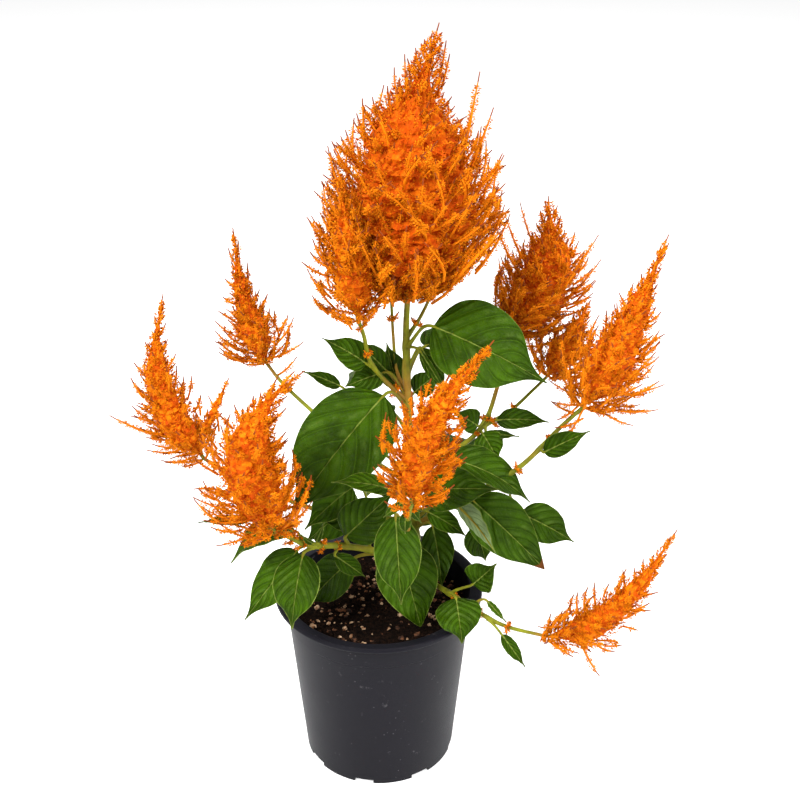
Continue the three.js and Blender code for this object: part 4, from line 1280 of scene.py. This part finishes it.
def stalks(name, spikes):
    """Thin three-sided stalks of the spikes, as one piece. Each ends in a bare brown thread."""
    places, faces = [], []
    last = (STALK_ROWS - 1) * STALK_SIDES
    for corners, bare in zip(spikes, bare_from(spikes)):
        rows = np.array([0, 0.3, 0.55, 0.75 * bare, bare + 0.02, 1.04])
        path = bezier(corners, rows)
        side, other = frames_along(path)
        reach = float(np.linalg.norm(corners[2] - corners[0]))
        lone = min(1.0, max(0.0, reach / (30 * MM) - 1))
        radius = (0.36 + (0.44 + 0.7 * lone) * (1 - np.minimum(rows, 1) ** 3)) * MM
        ring = [path + radius[:, None] * (side * math.cos(a) + other * math.sin(a))
                for a in (0, 2 * math.pi / 3, 4 * math.pi / 3)]
        start = len(places) * STALK_ROWS * STALK_SIDES
        places.append(np.stack(ring, axis=1).reshape(-1, 3))
        for row in range(STALK_ROWS - 1):
            for k in range(STALK_SIDES):
                a, b = (start + row * STALK_SIDES + i % STALK_SIDES for i in (k, k + 1))
                faces += [(a, b, b + STALK_SIDES), (a, b + STALK_SIDES, a + STALK_SIDES)]
        end = start + last
        faces += [(start, start + 2, start + 1), (end, end + 1, end + 2)]
    piece = mesh_piece(name, np.vstack(places), np.array(faces))
    # The stalks take a middle value between painted shade and painted highlight.
    mark(piece, "tone_and_painted_light", np.full(len(faces), 0.4), "FACE")
    around = 2 * STALK_SIDES  # triangles between two rings; the last ones and the end are bare
    brown = [0.0] * around * (STALK_ROWS - 2) + [1.0] * around + [0.0, 1.0]
    mark(piece, "tip", np.tile(brown, len(spikes)), "FACE")
    return piece


def core_share(girth):
    """How far out a lobe's dense middle reaches, as a share of its radius."""
    return 0.35 + 0.21 * min(1.0, max(0.0, (girth - 20) / 20))


def core(name, axis, girth, full, seed):
    """The dense middle of a lobe, rolled up and crumpled, coloured with painted shade."""
    rng = np.random.default_rng(seed + 200)
    rows = max(16, round(axis.length / (2.3 * MM)))
    share = np.linspace(0, 0.9, rows)
    path = axis.at(share)
    sides = max(14, round(2 * math.pi * core_share(girth) * girth / 2.6))
    ends = np.clip(share / 0.14, 0, 1) * np.clip((0.92 - share) / 0.25, 0, 1)
    radius = 0.4 * MM + core_share(girth) * lobe_radius(girth, full, share) * ends
    turns = [k * 2 * math.pi / sides for k in range(sides)]
    rough = np.array([[noise.noise(Vector((5 * math.cos(a), 5 * math.sin(a), row * 0.55 + seed)))
                       for a in turns] for row in range(rows)])
    grain = 2 * MM * (rng.random((rows, sides)) - 0.5) * ends[:, None]
    piece = tube(name, path, radius[:, None] * (1 + 0.3 * rough) + grain, sides)
    count = len(piece.data.polygons)
    # Painted shade: the middle, seen between the spikes, takes dark random values near the shaded
    # end, darker in a girthier lobe.
    mark(piece, "tone_and_painted_light", (0.62 - 0.007 * girth) * rng.random(count), "FACE")
    mark(piece, "tip", np.zeros(count), "FACE")
    return piece


class CELOSIA_OT_plumes(bpy.types.Operator):
    """Cover every lobe of every plume with spikes of florets and set tufts on the stems"""

    bl_idname = "celosia.plumes"
    bl_label = "Plumes"

    def execute(self, context):
        sizes = context.scene.celosia_sizes
        skin = floret_skin(context.scene.celosia_colours)
        form = floret_form()
        screen = leaf_screen()
        for node, suffix, points, girth, full, count, seed in LOBES:
            name = node + suffix
            axis = Track(points)
            spikes = lobe_spikes(name, axis, girth, full, count, seed, screen)
            florets = dress(f"{name}_florets", spikes, axis, (girth, full), sizes, form, seed)
            middle = core(f"{name}_middle", axis, girth, full, seed)
            plume = join(florets, stalks(f"{name}_stalks", spikes), middle)
            finish(plume, node, "plume_florets", skin)
        rng = np.random.default_rng(71)
        spikes = tuft_spikes(rng)
        *florets, share, _ = spike_florets(spikes, sizes.florets_per_mm, sizes.floret, rng)
        # Painted light: tuft florets get lighter out along their spike.
        tone_and_painted_light, tip = 0.4 + 0.4 * share, np.zeros(len(share))
        tufts = floret_piece("stem_tufts", florets, tone_and_painted_light, tip, form, rng)
        finish(join(tufts, stalks("tuft_stalks", spikes)), None, "plume_florets", skin)
        return {"FINISHED"}


# ---- stage ----

class CELOSIA_OT_stage(bpy.types.Operator):
    """Set up a pale floor, soft studio light and the camera"""

    bl_idname = "celosia.stage"
    bl_label = "Floor, light and camera"

    def execute(self, context):
        scene = context.scene
        deselect()
        bpy.ops.mesh.primitive_plane_add(size=14, location=(0, 0, 0))
        bpy.ops.object.transform_apply(location=True)
        floor = named("floor")
        n = Nodes("studio_white")
        floor.data.materials.append(n.surface(
            Base_Color=(0.6, 0.6, 0.6, 1), Roughness=0.9,
            Emission_Color=(1, 1, 1, 1), Emission_Strength=0.56))
        world = bpy.data.worlds.new("studio")
        scene.world = world
        world.use_nodes = True
        background = world.node_tree.nodes["Background"]
        background.inputs["Color"].default_value = (1, 1, 1, 1)
        background.inputs["Strength"].default_value = 0.42
        aim = Vector((0, 0, 0.25))
        for name, spot, size, power in (
            ("key", (-0.9, -1.1, 1.5), 0.9, 72),
            ("fill", (1.3, -0.7, 0.9), 1.2, 40),
            ("top", (0.1, 0.5, 1.9), 1.2, 48),
        ):
            bpy.ops.object.light_add(type="AREA", location=spot)
            lamp = bpy.context.object
            lamp.name = name
            lamp.data.size = size
            lamp.data.energy = power
            lamp.rotation_euler = (aim - Vector(spot)).to_track_quat("-Z", "Y").to_euler()
        tilt, turn = math.radians(90 - 26.76), math.radians(-1.185)
        bpy.ops.object.camera_add(location=(0, -0.650, 0.577), rotation=(tilt, 0, turn))
        camera = bpy.context.object
        camera.name = "camera"
        camera.data.lens = 56.43
        camera.data.sensor_width = 36
        camera.data.clip_start = 0.01
        camera.data.clip_end = 30
        scene.camera = camera
        scene.view_settings.view_transform = "Standard"
        return {"FINISHED"}


class CELOSIA_PT_panel(bpy.types.Panel):
    """Lists the plant's pieces and sizes"""

    bl_idname = "CELOSIA_PT_panel"
    bl_label = "Potted celosia"
    bl_space_type = "VIEW_3D"
    bl_region_type = "UI"
    bl_category = "Celosia"

    def draw(self, context):
        layout = self.layout
        for group in (context.scene.celosia_sizes, context.scene.celosia_colours):
            box = layout.box()
            for key in group.__annotations__:
                box.prop(group, key)
        for operator in OPERATORS:
            layout.operator(operator.bl_idname)


OPERATORS = (
    CELOSIA_OT_pot,
    CELOSIA_OT_potting_mix,
    CELOSIA_OT_grains,
    CELOSIA_OT_stems,
    CELOSIA_OT_leaves,
    CELOSIA_OT_plumes,
    CELOSIA_OT_stage,
)


def register():
    """Makes the groups, operators and panel known."""
    for kind in (CelosiaSizes, CelosiaColours, *OPERATORS, CELOSIA_PT_panel):
        bpy.utils.register_class(kind)
    bpy.types.Scene.celosia_sizes = PointerProperty(type=CelosiaSizes)
    bpy.types.Scene.celosia_colours = PointerProperty(type=CelosiaColours)


def unregister():
    """Takes back what register did."""
    del bpy.types.Scene.celosia_colours
    del bpy.types.Scene.celosia_sizes
    for kind in reversed((CelosiaSizes, CelosiaColours, *OPERATORS, CELOSIA_PT_panel)):
        bpy.utils.unregister_class(kind)


def main():
    """Builds the whole plant on its frame."""
    register()
    bpy.ops.celosia.pot()
    bpy.ops.celosia.potting_mix()
    bpy.ops.celosia.grains()
    bpy.ops.celosia.stems()
    bpy.ops.celosia.leaves()
    bpy.ops.celosia.plumes()
    bpy.ops.celosia.stage()


if __name__ == "__main__":
    main()
